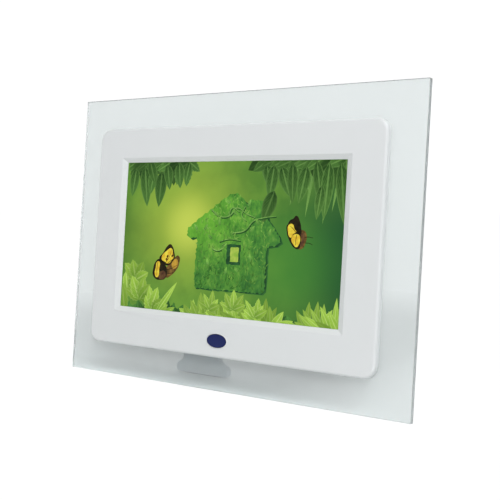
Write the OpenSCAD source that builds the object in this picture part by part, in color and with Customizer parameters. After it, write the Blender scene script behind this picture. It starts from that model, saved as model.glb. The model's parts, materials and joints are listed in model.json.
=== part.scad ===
// Digital photo frame: a clear panel, a white bezel around a 7-inch wide display,
// a rear cover with its electronics, and a hinged stand leg.
// Millimetres. +X is the viewer's right, the screen faces -Y, +Z is up, the table is z = 0.
// Pieces are drawn upright, with y = 0 on the panel's front face and z = 0 at the panel's
// middle. placed() leans them back and stands them on the table.

/* [Display] */
// Width of the picture
active_w = 154.1; // [140:0.1:190]
// Height of the picture
active_h = 86.6; // [80:0.1:110]
// Metal border of the display module beside the picture
module_side = 5.4; // [4:0.1:8]
// Metal border of the display module above and below the picture
module_band = 6.7; // [5:0.1:9]
// Thickness of the display module
module_t = 5.7; // [5:0.1:8]
// Height of the picture's middle above the panel's middle
lcd_rise = 1.2; // [0:0.1:2]

/* [Bezel] */
// Width of the window's sloping edge at the sides
bevel_x = 3.6; // [2:0.1:6]
// Width of the window's sloping edge above and below
bevel_z = 2.8; // [2:0.1:6]
// Flat band beside the window
bezel_side = 19.35; // [17:0.05:30]
// Flat band above and below the window
bezel_band = 18.9; // [18:0.1:30]
// How far the bezel stands out of the panel
bezel_proud = 4.4; // [4:0.1:8]
// Thickness of the bezel's front wall
bezel_wall = 1.8; // [1.4:0.1:2.2]
// Radius of the bezel's corners
bezel_r = 7; // [5:0.5:12]
// Rounding of the bezel's front edge
bezel_edge = 1.5; // [0.5:0.1:1.8]

/* [Clear panel] */
// Width of the clear margin around the bezel
panel_margin = 19; // [8:1:40]
// Thickness of the clear panel
panel_t = 3; // [2:0.5:5]

/* [Rear cover] */
// How far the cover reaches past the display module at the sides
cover_side = 5.55; // [5:0.05:10]
// How far the cover reaches past the display module above and below
cover_band = 11.5; // [11:0.1:16]
// Depth of the cover
cover_d = 20; // [20:0.5:30]
// Wall of the cover
cover_wall = 2.2; // [1.8:0.1:2.6]
// Radius of the cover's corners
cover_r = 10; // [8:0.5:14]
// Rounding of the cover's back edge
cover_edge = 4; // [2:0.5:5]

/* [Stand] */
// Angle that the frame leans back by
lean = 5.5; // [3:0.5:15]
// Angle between the open leg and the cover's back
leg_open = 10.5; // [8:0.5:25]
// Place of the leg's middle line
stand_x = -37; // [-40:1:-34]
// Width of the leg
leg_w = 27; // [20:1:34]
// Width of the leg's foot
foot_w = 40; // [36:1:50]
// Thickness of the leg
leg_t = 4; // [3:0.5:5]
// Drop of the hinge below the panel's middle
pivot_drop = 8; // [4:1:20]
// Radius of the hinge pin
pin_r = 1.5; // [1:0.1:1.8]

/* [Fastening] */
// Radius of the bezel's posts for the cover screws
post_r = 3; // [2.6:0.1:3.4]
// Radius of the cover screws
screw_r = 1.25; // [1:0.05:1.4]
// Radius of the small screws inside
small_screw_r = 0.95; // [0.8:0.05:1.1]
// Radius of the wall-hanging keyholes
keyhole_r = 4; // [3.5:0.1:4.5]

/* [Controls] */
// Radius of the arrow key pad
pad_r = 12; // [11:0.5:13]
// Radius of the round keys
key_r = 4; // [3.5:0.1:4.2]
// Travel of a key
key_travel = 0.4; // [0.2:0.1:0.5]
// Travel of the power switch
switch_travel = 2.5; // [1.5:0.1:3]

/* [Sound] */
// Radius of a speaker
speaker_r = 14; // [12:0.5:14]

/* [Hidden] */
$fn = 48;

eps = 0.02;          // overshoot of a cut past a face
slip = 0.3;          // gap beside a piece that drops in
bore_slip = 0.05;    // radial gap of a pin or screw in its hole

// Outlines that follow from the display
window_w = active_w + 2 * bevel_x;
window_h = active_h + 2 * bevel_z;
bezel_w = window_w + 2 * bezel_side;
bezel_h = window_h + 2 * bezel_band;
panel_w = bezel_w + 2 * panel_margin;
panel_h = bezel_h + 2 * panel_margin;
module_w = active_w + 2 * module_side;
module_h = active_h + 2 * module_band;
cover_w = module_w + 2 * cover_side;
cover_h = module_h + 2 * cover_band;

// Depths, from front to back
gasket_t = 0.5;
bezel_back = -bezel_proud + bezel_wall;
module_front = bezel_back + gasket_t;
module_back = module_front + module_t;
cover_back = panel_t + cover_d;
inner_back = cover_back - cover_wall;

// Bezel
rim_w = 4.4;         // solid rim that stands on the panel
lip_t = 0.3;         // upright lip at the foot of the window's slope
cavity_r = bezel_r - 2;

// Clear panel
cutout_gap = 0.6;
ir_notch_w = 26;

// Posts and screws: the cover's screws go through its bosses into the bezel's posts
boss_r = post_r + 1;
post_z = cover_h / 2 - boss_r - 1;
post_spots = [for (x = [10 - cover_w / 2, 26, cover_w / 2 - 10], s = [-1, 1]) [x, s * post_z]];
screw_seat = panel_t + 2.5;
head_r = screw_r + 1.05;
head_h = 1.6;
bracket_spots = [for (x = [-50, 50], s = [-1, 1]) [x, s * post_z]];
bracket_post_r = 2.6;
small_head_r = small_screw_r + 1;
small_head_h = 1.2;

// Sensor, in the band under the window
sensor_w = 14;
sensor_h = 7.6;
sensor_z = lcd_rise - active_h / 2 - 13.5;
sensor_flange = 1;
sensor_flange_t = 0.7;
ir_board_y = 0.6;
ir_board_t = 1.2;
ir_board_w = 24;
peg_x = ir_board_w / 2 - 1.7;
peg_r = 0.9;
ir_board_h = 11;

// Display layers
sheet_t = 0.3;
glass_t = 1.5;
diffuser_t = 0.4;
guide_t = 2.2;
glass_y = module_front + sheet_t;
diffuser_y = glass_y + glass_t;
guide_y = diffuser_y + diffuser_t;
tray_floor = module_back - 1;
tray_w = module_w - 2 * sheet_t - 0.2;
tray_h = module_h - 2 * sheet_t - 0.2;
tray_wall = 1.4;
led_t = 1.6;

// Bracket and main board
bracket_t = 0.8;
bracket_back = module_back + bracket_t;
bracket_ear = 2.4;
board_y = bracket_back + 3.6;
board_t = 1.6;
board_top_y = board_y + board_t;
board_left = -52;
board_right = cover_w / 2 - cover_wall - 2;
board_low = -38;
board_high = 50;
board_spots = [[-46, -31], [46, -31], [-46, 42], [46, 42]];
standoff_r = 2.5;

// Flat cable
flex_x = 20;
flex_w = 36;
flex_t = 0.25;
flex_bend = (board_y - module_back - flex_t) / 2;
flex_mid = (module_back + board_y) / 2;
flex_start = lcd_rise - module_h / 2 + 3;
flex_run = 6;
flex_top = flex_start + flex_run + 2 * flex_bend;

// Leg: the pivot, the pocket and the length down to the table
barrel_r = pin_r + 1.7;
leg_clear = 1;
pocket_wall = 2;
pivot_y = cover_back - barrel_r - 0.4;
pivot_z = -pivot_drop;
pocket_floor = pivot_y - barrel_r - 0.4;
heel = (barrel_r + 0.4 - leg_t / 2 * cos(leg_open) - bore_slip) / sin(leg_open);
pocket_top = heel + leg_clear;
mid_z = panel_h / 2;
leg_len = (mid_z + pivot_z - (pivot_y - panel_t) * tan(lean))
    / (cos(leg_open) + sin(leg_open) * tan(lean));
foot_h = 7;
foot_fillet = 5;
pad_w = 28;
pad_t = 2.4;
pad_deep = 2.2;
pin_len = leg_w + 2 * leg_clear + 3;

// Stand: the panel's rear bottom edge and the pad's face lie on the table,
// and the origin is under the middle of the object's depth
lift = panel_t * sin(lean);
front_y = -bezel_proud * cos(lean) + (mid_z - bezel_h / 2) * sin(lean);
cover_rear_y = cover_back * cos(lean) + (mid_z + cover_h / 2 - cover_edge) * sin(lean);
foot_rear_y = (pivot_y + leg_len * sin(leg_open) + leg_t / 2) * cos(lean);
stand_shift = -(front_y + max(cover_rear_y, foot_rear_y)) / 2;

// Keys: four arrows around a round key, and two more round keys
pad_at = [14, 27];
pad_pitch = 8.4;
ring_r = key_r + 1;
key_gap = 0.5;
key_proud = 1;
flange_t = 1;
flange_lap = 1.2;
flange_y = inner_back - 0.2 - flange_t;
deep_flange_y = flange_y - flange_t - 0.8;
stem_r = 1.6;
menu_at = pad_at + [23, 7];
exit_at = pad_at + [23, -7];
key_spots = [pad_at + [0, pad_pitch], pad_at - [0, pad_pitch], pad_at - [pad_pitch, 0],
    pad_at + [pad_pitch, 0], pad_at, menu_at, exit_at];
tact_w = 6;
tact_back = board_top_y + 3.5;
plunger_r = 1.7;
plunger_front = tact_back - 0.9;
plunger_back = tact_back + 1.5;

// Sockets in the right side wall
wall_in = cover_w / 2 - cover_wall;
port_x = wall_in - slip;
card_z = 20;
card_w = 28;
card_deep = 26;
card_t = 3;
card_slot = [24.8, 2.6];
usb_z = -2;
usb_size = [9, 7.8, 4];
jack_z = -14;
jack_body = [12, 6.4, 5.4];
jack_r = 1.8;
power_z = -28;
power_body = [14, 9, 9];
power_r = 2.9;
power_pin_r = 1.05;
switch_z = 43;
switch_size = [6, 11, 5];
knob = [3.4, 2];

// Speakers, beside the board's middle
speaker_x = cover_w / 2 - 18;
speaker_z = 21;
speaker_ear = speaker_r + 2.4;
pillar_h = 2;
speaker_flange_y = inner_back - pillar_h - 1;
magnet_back = speaker_flange_y - 2.2;
magnet_t = 2.8;

// Wall-hanging keyholes and vents
keyhole_at = [50, 46];
keyhole_slot_r = keyhole_r / 2;
keyhole_slot = 6;
vent_w = 1.8;
vent_h = 10;
vent_pitch = 4.5;
vent_count = 9;
vent_gap = 3;         // from the cover's rounded top edge
slot_pitch = 3.2;
slot_w = 1.6;

// Upright working place of every piece, leaned back and stood on the table
module placed() {
    translate([0, stand_shift, lift]) rotate([-lean, 0, 0]) translate([0, 0, mid_z])
        children();
}

// Same place, about the middle of the picture
module at_display() {
    placed() translate([0, 0, lcd_rise]) children();
}

// A flat outline in x and z, as a plate from depth y0 back to y1
module slab(y0, y1) {
    translate([0, y1, 0]) rotate([90, 0, 0]) linear_extrude(y1 - y0) children();
}

// A round bar along y at a spot [x, z]
module rod(spot, r, y0, y1) {
    translate([spot[0], y1, spot[1]]) rotate([90, 0, 0]) cylinder(r = r, h = y1 - y0);
}

// A block from a corner [x, y, z]
module block(corner, size) {
    translate(corner) cube(size);
}

// A centred rectangle with round corners
module rounded(w, h, r) {
    square([w - 2 * r, h], center = true);
    square([w, h - 2 * r], center = true);
    for (sx = [-1, 1], sz = [-1, 1])
        translate([sx * (w / 2 - r), sz * (h / 2 - r)]) circle(r);
}

// A centred ring between two rectangles
module frame_outline(w, h, inner_w, inner_h) {
    difference() {
        square([w, h], center = true);
        square([inner_w, inner_h], center = true);
    }
}

// A slot with round ends along z
module slot(length, w) {
    square([w, length - w], center = true);
    for (s = [-1, 1]) translate([0, s * (length - w) / 2]) circle(w / 2, $fn = 24);
}

// An oval of the given width and height
module oval(w, h) {
    polygon([for (a = [0 : 5 : 355]) [w / 2 * cos(a), h / 2 * sin(a)]]);
}

// A plate whose far edge, at y1, is rounded by edge in small steps
module soft_plate(w, h, r, y0, y1, edge) {
    way = sign(y1 - y0);
    hull() for (step = [0, 0.1, 0.3, 0.6, 1]) {
        inset = edge * (1 - sqrt(1 - pow(1 - step, 2)));
        far = y1 - way * edge * step;
        slab(min(y0, far), max(y0, far)) rounded(w - 2 * inset, h - 2 * inset, r - inset, $fn = 32);
    }
}

// A screw along y whose head sits at depth seat and whose shank ends at tip
module screw(spot, seat, tip, r, cap_r, cap_h) {
    difference() {
        union() {
            rod(spot, cap_r, seat, seat + cap_h);
            rod(spot, r, tip, seat + eps);
        }
        for (turn = [0, 90])
            translate([spot[0], seat + cap_h, spot[1]]) rotate([0, turn, 0])
                cube([cap_r * 1.2, cap_h, cap_r * 0.3], center = true);
    }
}

// A round lead swept along its points
function unit(v) = v / norm(v);
function along(p, i) = unit(p[min(i + 1, len(p) - 1)] - p[max(i - 1, 0)]);
module lead(points, r, sides = 8) {
    rings = [for (i = [0 : len(points) - 1])
        let (t = along(points, i), a = unit(cross(t, [1, 0.3, 0.2])), b = cross(t, a))
            for (k = [0 : sides - 1])
                points[i] + r * (cos(360 * k / sides) * a + sin(360 * k / sides) * b)];
    last = (len(points) - 1) * sides;
    polyhedron(rings, concat(
        [[for (k = [sides - 1 : -1 : 0]) k]],
        [[for (k = [0 : sides - 1]) last + k]],
        [for (i = [0 : len(points) - 2], k = [0 : sides - 1])
            let (n = (k + 1) % sides, at = i * sides)
                [at + k, at + n, at + sides + n, at + sides + k]]));
}

// Points of a smooth curve from a towards b and on to c, its first point left out if from is 1
function curve(a, b, c, from = 0, n = 8) =
    [for (i = [from : n]) let (t = i / n) (1 - t) * (1 - t) * a + 2 * t * (1 - t) * b + t * t * c];

// A lead's points: it leaves point a and meets point d square on, along y, and turns at b and c
function lead_way(a, b, c, d, stub) =
    concat([a], curve(a + sign(b[1] - a[1]) * [0, stub, 0], b, (b + c) / 2),
        curve((b + c) / 2, c, d + sign(c[1] - d[1]) * [0, stub, 0], 1), [d]);

// Outline of the leg below its pivot, grown by a clearance
module leg_outline(grow) {
    half = leg_w / 2 + grow;
    foot_top = -leg_len + foot_h + grow;
    translate([-half, foot_top - 1]) square([2 * half, -foot_top + 1]);
    translate([0, -leg_len + foot_h / 2])
        rounded(foot_w + 2 * grow, foot_h + 2 * grow, foot_h / 2 + grow - eps);
    for (s = [-1, 1]) translate([s * half, foot_top]) difference() {
        translate([s * foot_fillet / 2, foot_fillet / 2 - 1])
            square([foot_fillet, foot_fillet + 2], center = true);
        translate([s * foot_fillet, foot_fillet]) circle(foot_fillet);
    }
}

module clear_panel() {
    color("#dfe9e6", 0.35) placed() difference() {
        slab(0, panel_t) square([panel_w, panel_h], center = true);
        translate([0, 0, lcd_rise]) slab(-1, panel_t + 1)
            square([module_w + 2 * cutout_gap, module_h + 2 * cutout_gap], center = true);
        block([-ir_notch_w / 2, -1, sensor_z - ir_board_h / 2 - 1],
            [ir_notch_w, panel_t + 2, lcd_rise - module_h / 2 - sensor_z + ir_board_h / 2 + 1]);
        for (spot = post_spots) rod(spot, post_r + slip, -1, panel_t + 1);
        for (spot = bracket_spots) rod(spot, bracket_post_r + slip, -1, panel_t + 1);
    }
}

module front_bezel() {
    peg_spots = [[-peg_x, sensor_z], [peg_x, sensor_z]];
    color("white") placed() difference() {
        union() {
            difference() {
                soft_plate(bezel_w, bezel_h, bezel_r, -gasket_t, -bezel_proud, bezel_edge);
                slab(bezel_back, 0) rounded(bezel_w - 2 * rim_w, bezel_h - 2 * rim_w, cavity_r);
            }
            for (spot = post_spots) rod(spot, post_r, bezel_back - eps, panel_t - 0.1);
            for (spot = bracket_spots) rod(spot, bracket_post_r, bezel_back - eps, module_back);
            for (spot = peg_spots) {
                rod(spot, peg_r + 0.5, bezel_back - eps, ir_board_y);
                rod(spot, peg_r, 0, ir_board_y + ir_board_t + 0.5);
            }
        }
        translate([0, 0, lcd_rise]) hull() {
            slab(-bezel_proud - eps, -bezel_proud) square([window_w, window_h], center = true);
            slab(bezel_back - lip_t - eps, bezel_back - lip_t)
                square([active_w, active_h], center = true);
        }
        translate([0, 0, lcd_rise]) slab(bezel_back - lip_t - 2 * eps, 0)
            square([active_w, active_h], center = true);
        translate([0, 0, sensor_z]) slab(-bezel_proud - 1, 0)
            oval(sensor_w + 2 * bore_slip, sensor_h + 2 * bore_slip);
        for (spot = post_spots) rod(spot, screw_r + bore_slip, panel_t - 5.6, panel_t);
        for (spot = bracket_spots)
            rod(spot, small_screw_r + bore_slip, module_back - 5, module_back + 1);
    }
}

module bezel_gasket() {
    color("#d8d8d4") placed() slab(-gasket_t, 0) difference() {
        rounded(bezel_w - 1, bezel_h - 1, bezel_r - 0.5);
        rounded(bezel_w - 2 * rim_w + 0.6, bezel_h - 2 * rim_w + 0.6, cavity_r);
    }
}

module sensor_window() {
    color("#10132b") placed() translate([0, 0, sensor_z]) {
        slab(-bezel_proud - 0.1, bezel_back + eps) oval(sensor_w, sensor_h);
        slab(bezel_back, bezel_back + sensor_flange_t)
            oval(sensor_w + 2 * sensor_flange, sensor_h + 2 * sensor_flange);
    }
}

module lcd_gasket() {
    color("#202020") at_display() slab(bezel_back, module_front)
        frame_outline(module_w - 1, module_h - 1, active_w + 3, active_h + 3);
}

module lcd_frame() {
    color("#b8bcc0") at_display() {
        slab(module_front, glass_y) frame_outline(module_w, module_h, active_w + 2.4, active_h + 2.4);
        slab(glass_y - eps, module_front + 3.5)
            frame_outline(module_w, module_h, module_w - 2 * sheet_t, module_h - 2 * sheet_t);
    }
}

module lcd_glass() {
    color("#0c2a12") at_display() slab(glass_y, diffuser_y) square([tray_w, tray_h], center = true);
}

module diffuser_sheet() {
    color("#f4f4f0") at_display() slab(diffuser_y, guide_y)
        square([tray_w - 2 * tray_wall - 0.4, tray_h - 2 * tray_wall - 0.4], center = true);
}

module light_guide() {
    color("#e8f0f2") at_display() translate([0, 0, led_t / 2]) slab(guide_y, guide_y + guide_t)
        square([tray_w - 2 * tray_wall - 0.4, tray_h - 2 * tray_wall - led_t - 0.6], center = true);
}

module led_strip() {
    color("#f2e9a8") at_display() {
        low = -tray_h / 2 + tray_wall;
        block([-active_w / 2, guide_y, low], [active_w, guide_t, led_t - 0.8]);
        for (x = [-active_w / 2 + 6 : 12 : active_w / 2 - 6])
            block([x - 1.5, guide_y + 0.4, low + led_t - 0.8 - eps], [3, guide_t - 0.8, 0.6]);
    }
}

module backlight_tray() {
    color("#f0f0ee") at_display() difference() {
        slab(diffuser_y, module_back) square([tray_w, tray_h], center = true);
        slab(diffuser_y - 1, tray_floor)
            square([tray_w - 2 * tray_wall, tray_h - 2 * tray_wall], center = true);
    }
}

// S-shaped ribbon from the display's back up to the board's face
module lcd_flex() {
    turn = flex_start + flex_run;
    color("#c9862e") placed() translate([flex_x - flex_w / 2, 0, 0]) rotate([90, 0, 90])
        linear_extrude(flex_w) {
            translate([module_back, flex_start]) square([flex_t, flex_run + eps]);
            translate([module_back + flex_t / 2 + flex_bend, turn]) ribbon_bend([-1, 1]);
            translate([flex_mid, turn + 2 * flex_bend]) ribbon_bend([1, -1]);
            translate([board_y - flex_t, flex_top - eps]) square([flex_t, flex_run]);
        }
}

// A quarter turn of the ribbon about the origin, in the quadrant that way names
module ribbon_bend(way) {
    intersection() {
        difference() {
            circle(flex_bend + flex_t / 2);
            circle(flex_bend - flex_t / 2);
        }
        translate([way[0] > 0 ? 0 : -2 * flex_bend, way[1] > 0 ? 0 : -2 * flex_bend])
            square(2 * flex_bend);
    }
}

module chassis_bracket() {
    color("#aab0b4") placed() difference() {
        union() {
            slab(module_back, bracket_back) {
                translate([-56, -30]) square([112, 74]);
                for (x = [-50, 50]) translate([x, 0]) rounded(12, 2 * (post_z + bracket_ear), 2);
            }
            for (spot = board_spots) rod(spot, standoff_r, bracket_back - eps, board_y);
        }
        slab(module_back - 1, bracket_back + 1) for (x = [-24, 24]) translate([x, 8])
            rounded(30, 34, 4);
        for (spot = bracket_spots)
            rod(spot, small_screw_r + 0.2, module_back - 1, bracket_back + 1);
        for (spot = board_spots)
            rod(spot, small_screw_r + bore_slip, module_back - 1, board_y + 1);
    }
}

module bracket_screws() {
    color("#8a8d90") placed() for (spot = bracket_spots)
        screw(spot, bracket_back, module_back - 4.4, small_screw_r, small_head_r, small_head_h);
}

module main_board() {
    color("#1d6b3a") placed() {
        difference() {
            slab(board_y, board_top_y) translate([board_left, board_low])
                square([board_right - board_left, board_high - board_low]);
            for (spot = board_spots) rod(spot, small_screw_r + 0.2, board_y - 1, board_top_y + 1);
        }
        difference() {
            translate([flex_x - flex_w / 2 - 2, board_y - 1.6, flex_top + 1])
                cube([flex_w + 4, 1.6 + eps, 4]);
            translate([flex_x - flex_w / 2 - slip, board_y - flex_t - 0.1, flex_top])
                cube([flex_w + 2 * slip, 1, flex_run]);
        }
    }
}

module board_screws() {
    color("#8a8d90") placed() for (spot = board_spots)
        screw(spot, board_top_y, board_y - 3, small_screw_r, small_head_r, small_head_h);
}

// A chip body on the board with a row of legs on two sides
module chip(spot, w, h, t, legs) {
    translate([spot[0], 0, spot[1]]) {
        block([-w / 2, board_top_y + 0.1, -h / 2], [w, t, h]);
        for (s = [-1, 1], i = [0 : legs - 1])
            block([s * (w / 2 + 0.4) - 0.5, board_top_y, -h / 2 + h * (i + 0.5) / legs - 0.25],
                [1, 0.5, 0.5]);
    }
}

module processor_chip() {
    color("#1b1c1e") placed() chip([4, -12], 20, 20, 1.5, 14);
}

module memory_chips() {
    color("#1b1c1e") placed() for (z = [-22, -2]) chip([36, z], 12, 16, 1.1, 12);
}

module board_capacitors() {
    color("#3a4a78") placed() for (spot = [[58, -32], [50, 8], [-2, 46]])
        rod(spot, 3.1, board_top_y, board_top_y + 6.8);
}

module board_inductors() {
    color("#4a4a4c") placed() for (x = [-40, -28]) block([x, board_top_y, -33], [7, 3, 7]);
}

module coin_holder() {
    color("#e9e6da") placed() translate([-36, 0, 30]) {
        rod([0, 0], 11.2, board_top_y, board_top_y + 1);
        difference() {
            rod([0, 0], 11.2, board_top_y + 1 - eps, board_top_y + 3.4);
            rod([0, 0], 10.2, board_top_y, board_top_y + 5);
            block([-4, board_top_y + 1, -14], [8, 4, 28]);
        }
    }
}

module coin_cell() {
    color("#c8cacc") placed() rod([-36, 30], 10, board_top_y + 1, board_top_y + 4.2);
}

module card_socket() {
    color("#b9bdc0") placed() translate([port_x, board_top_y, card_z]) difference() {
        block([-card_deep, 0, -card_w / 2], [card_deep, card_t, card_w]);
        block([-card_deep + 2, 0.25, -card_slot[0] / 2], [card_deep, card_slot[1] - 0.1, card_slot[0]]);
    }
}

module usb_port() {
    color("#c6c9cc") placed() translate([port_x - usb_size[0], board_top_y, usb_z]) difference() {
        block([0, 0, -usb_size[1] / 2], [usb_size[0], usb_size[2], usb_size[1]]);
        difference() {
            block([1.5, 0.4, -usb_size[1] / 2 + 0.4],
                [usb_size[0], usb_size[2] - 0.8, usb_size[1] - 0.8]);
            block([1.5, 1.6, -2.2], [usb_size[0] - 3, 0.8, 4.4]);
        }
    }
}

module headphone_jack() {
    color("#2a2a2c") placed() translate([port_x - jack_body[0], board_top_y, jack_z])
        difference() {
            block([0, 0, -jack_body[1] / 2], [jack_body[0], jack_body[2], jack_body[1]]);
            translate([1, jack_body[2] / 2, 0]) rotate([0, 90, 0])
                cylinder(r = jack_r, h = jack_body[0]);
        }
}

module power_jack() {
    color("#242426") placed() translate([port_x - power_body[0], board_top_y, power_z]) {
        difference() {
            block([0, 0, -power_body[1] / 2], [power_body[0], power_body[2], power_body[1]]);
            translate([3, power_body[2] / 2, 0]) rotate([0, 90, 0])
                cylinder(r = power_r, h = power_body[0]);
        }
        translate([2.5, power_body[2] / 2, 0]) rotate([0, 90, 0])
            cylinder(r = power_pin_r, h = power_body[0] - 4);
    }
}

// Slide switch: a hollow body, and a slider whose knob shows through the side wall
module switch_body() {
    color("#3a3c40") placed() translate([port_x - switch_size[0], board_top_y, switch_z])
        difference() {
            block([0, 0, -switch_size[1] / 2], [switch_size[0], switch_size[2], switch_size[1]]);
            block([1.5, 1, -switch_size[1] / 2 + 1],
                [switch_size[0], switch_size[2] - 2, switch_size[1] - 2]);
        }
}

module switch_slider() {
    color("#202226") placed() translate([port_x, board_top_y + switch_size[2] / 2, switch_z]) {
        reach = cover_wall + slip + 1.4;
        at = switch_travel / 2;
        block([-4, -1.2, at - 3], [2.6, 2.4, 6]);
        block([-2, -knob[1] / 2, at - knob[0] / 2], [2 + reach, knob[1], knob[0]]);
    }
}

module key_switches() {
    color("#2b2b2e") placed() for (spot = key_spots) difference() {
        translate([spot[0], 0, spot[1]])
            block([-tact_w / 2, board_top_y, -tact_w / 2], [tact_w, tact_back - board_top_y, tact_w]);
        rod(spot, plunger_r + bore_slip, plunger_front - key_travel - 0.2, tact_back + 1);
    }
}

module plunger(i) {
    color("#8f9296") placed() rod(key_spots[i], plunger_r, plunger_front, plunger_back);
}

// One arrow of the pad: a quarter of the ring, its flange and its stem
module arrow_key(i, turn) {
    color("#d7dade") placed() {
        slab(flange_y, cover_back + key_proud) arrow_outline(turn, pad_r, ring_r);
        slab(flange_y, flange_y + flange_t) arrow_outline(turn, pad_r + flange_lap, ring_r);
        rod(key_spots[i], stem_r, plunger_back, flange_y + eps);
    }
}

module arrow_outline(turn, outer, inner) {
    translate(pad_at) intersection() {
        difference() {
            circle(outer);
            circle(inner);
        }
        rotate(turn) translate([key_gap, 0])
            polygon([[0, 0], [2 * outer, 2 * outer], [2 * outer, -2 * outer]]);
    }
}

module round_key(i, collar_y) {
    color("#d7dade") placed() {
        rod(key_spots[i], key_r, collar_y, cover_back + key_proud);
        rod(key_spots[i], key_r + flange_lap + 0.4, collar_y, collar_y + flange_t);
        rod(key_spots[i], stem_r, plunger_back, collar_y + eps);
    }
}

module ir_board() {
    color("#1d6b3a") placed() difference() {
        translate([0, 0, sensor_z]) slab(ir_board_y, ir_board_y + ir_board_t)
            square([ir_board_w, ir_board_h], center = true);
        for (s = [-1, 1]) rod([s * peg_x, sensor_z], peg_r + bore_slip, 0, 3);
    }
}

module ir_receiver() {
    color("#17181c") placed() {
        block([-3.4, ir_board_y - 2.2, sensor_z - 2.8], [6.8, 2.2, 5.6]);
        translate([0, ir_board_y - 0.2, sensor_z]) intersection() {
            sphere(r = 2.2);
            block([-3, -3, -3], [6, 3, 6]);
        }
    }
}

module ir_lead() {
    top = sensor_z + 19;
    sag_y = module_back + 2.4;
    color("#8d8f94") placed() lead(lead_way([-6, ir_board_y + ir_board_t, sensor_z],
        [-6, sag_y, sensor_z], [-6, sag_y, top], [-6, board_y, top], 0.8), 0.8);
}

// Place of a speaker: s is -1 for the left one and 1 for the right one
module at_speaker(s) {
    placed() translate([s * speaker_x, 0, speaker_z]) children();
}

module speaker_frames() {
    color("#5c6064") for (s = [-1, 1]) at_speaker(s) difference() {
        union() {
            slab(speaker_flange_y, speaker_flange_y + 1) {
                circle(speaker_r);
                slot(2 * speaker_ear + 5, 5);
            }
            rod([0, 0], speaker_r - 0.3, speaker_flange_y, inner_back - slip);
            rod([0, 0], speaker_r - 3, magnet_back, speaker_flange_y + eps);
        }
        rod([0, 0], speaker_r - 1.6, speaker_flange_y + 0.6, inner_back + 1);
        rod([0, 0], speaker_r - 4.4, magnet_back + 0.8, inner_back);
        for (side = [-1, 1]) rod([0, side * speaker_ear], small_screw_r + 0.2, 0, inner_back);
    }
}

module speaker_magnets() {
    color("#3b3d40") for (s = [-1, 1]) at_speaker(s)
        rod([0, 0], speaker_r / 2, magnet_back - magnet_t, magnet_back);
}

module speaker_cones() {
    rim = speaker_r - 1.8;
    depth = 1.8;
    color("#26272a") for (s = [-1, 1]) at_speaker(s)
        translate([0, speaker_flange_y + 0.6, 0]) rotate([-90, 0, 0]) rotate_extrude()
            polygon([[0, 0.6], [3.6, 0], [4, -0.2], [rim - 3, depth - 0.8], [rim - 1.4, depth - 0.4],
                [rim, 0], [rim, 0.4], [rim - 1.4, depth], [rim - 3, depth - 0.3], [4, 0.4],
                [3.6, 0.6], [0, 1.2]]);
}

module speaker_leads() {
    ends = [[board_left + 3, pivot_z + pocket_top + pocket_wall + 3],
        [speaker_x - 9, card_z - card_w / 2 - 3]];
    color("#b23030") placed() for (i = [0, 1]) {
        start = [(2 * i - 1) * (speaker_x - 4), speaker_flange_y, speaker_z - speaker_r + 1.6];
        end = [ends[i][0], board_top_y, ends[i][1]];
        lead(lead_way(start, start - [0, 2.3, 0], end + [0, 3.9, 0], end, 0.8), 0.7);
    }
}

module speaker_screws() {
    color("#8a8d90") for (s = [-1, 1]) at_speaker(s) mirror([0, 1, 0])
        for (side = [-1, 1])
            screw([0, side * speaker_ear], -speaker_flange_y, -inner_back - 0.8,
                small_screw_r, small_head_r, small_head_h);
}

// Housing behind the panel, with the leg's pocket, bosses, grilles, keyholes and openings
module rear_cover() {
    color("#e4e6e8") placed() difference() {
        union() {
            difference() {
                soft_plate(cover_w, cover_h, cover_r, panel_t, cover_back, cover_edge);
                soft_plate(cover_w - 2 * cover_wall, cover_h - 2 * cover_wall,
                    cover_r - cover_wall, panel_t - 1, inner_back, cover_edge - 1);
            }
            intersection() {
                slab(pocket_floor - pocket_wall, inner_back + eps) translate([stand_x, pivot_z])
                    pocket_outline(leg_clear + pocket_wall);
                slab(0, cover_back) square([cover_w, cover_h - 2], center = true);
            }
            for (spot = post_spots) rod(spot, boss_r, panel_t, inner_back + eps);
            for (s = [-1, 1], side = [-1, 1])
                rod([s * speaker_x, speaker_z + side * speaker_ear], 2.4,
                    inner_back - pillar_h, inner_back + eps);
        }
        for (spot = post_spots) {
            rod(spot, head_r + slip, screw_seat, cover_back + 1);
            rod(spot, screw_r + 0.2, panel_t - 1, screw_seat + 1);
        }
        slab(pocket_floor, cover_back + 1) translate([stand_x, pivot_z]) pocket_outline(leg_clear);
        translate([stand_x - pin_len / 2 - slip, pivot_y, pivot_z]) rotate([0, 90, 0])
            cylinder(r = pin_r + bore_slip / 2, h = pin_len + 2 * slip);
        for (s = [-1, 1], side = [-1, 1])
            rod([s * speaker_x, speaker_z + side * speaker_ear], small_screw_r + bore_slip,
                inner_back - pillar_h - 1, inner_back + 1);
        key_holes();
        grilles();
        keyholes();
        vents();
        port_holes();
    }
}

// The leg's outline with a square top around the hinge barrel
module pocket_outline(grow) {
    leg_outline(grow);
    half = leg_w / 2 + grow;
    translate([-half, -1]) square([2 * half, 1 + pocket_top + grow - leg_clear]);
}

module key_holes() {
    rod(pad_at, pad_r + slip, inner_back - 1, cover_back + 1);
    rod(pad_at, pad_r + 2.4, cover_back - 0.6, cover_back + 1);
    for (spot = [menu_at, exit_at]) {
        rod(spot, key_r + slip, inner_back - 1, cover_back + 1);
        rod(spot, key_r + 1.8, cover_back - 0.6, cover_back + 1);
    }
}

module grilles() {
    reach = speaker_r - 4;
    for (s = [-1, 1], i = [-3 : 3])
        translate([s * speaker_x + i * slot_pitch, 0, speaker_z]) slab(inner_back - 1, cover_back + 1)
            slot(2 * sqrt(reach * reach - i * i * 6) + slot_w, slot_w);
}

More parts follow.
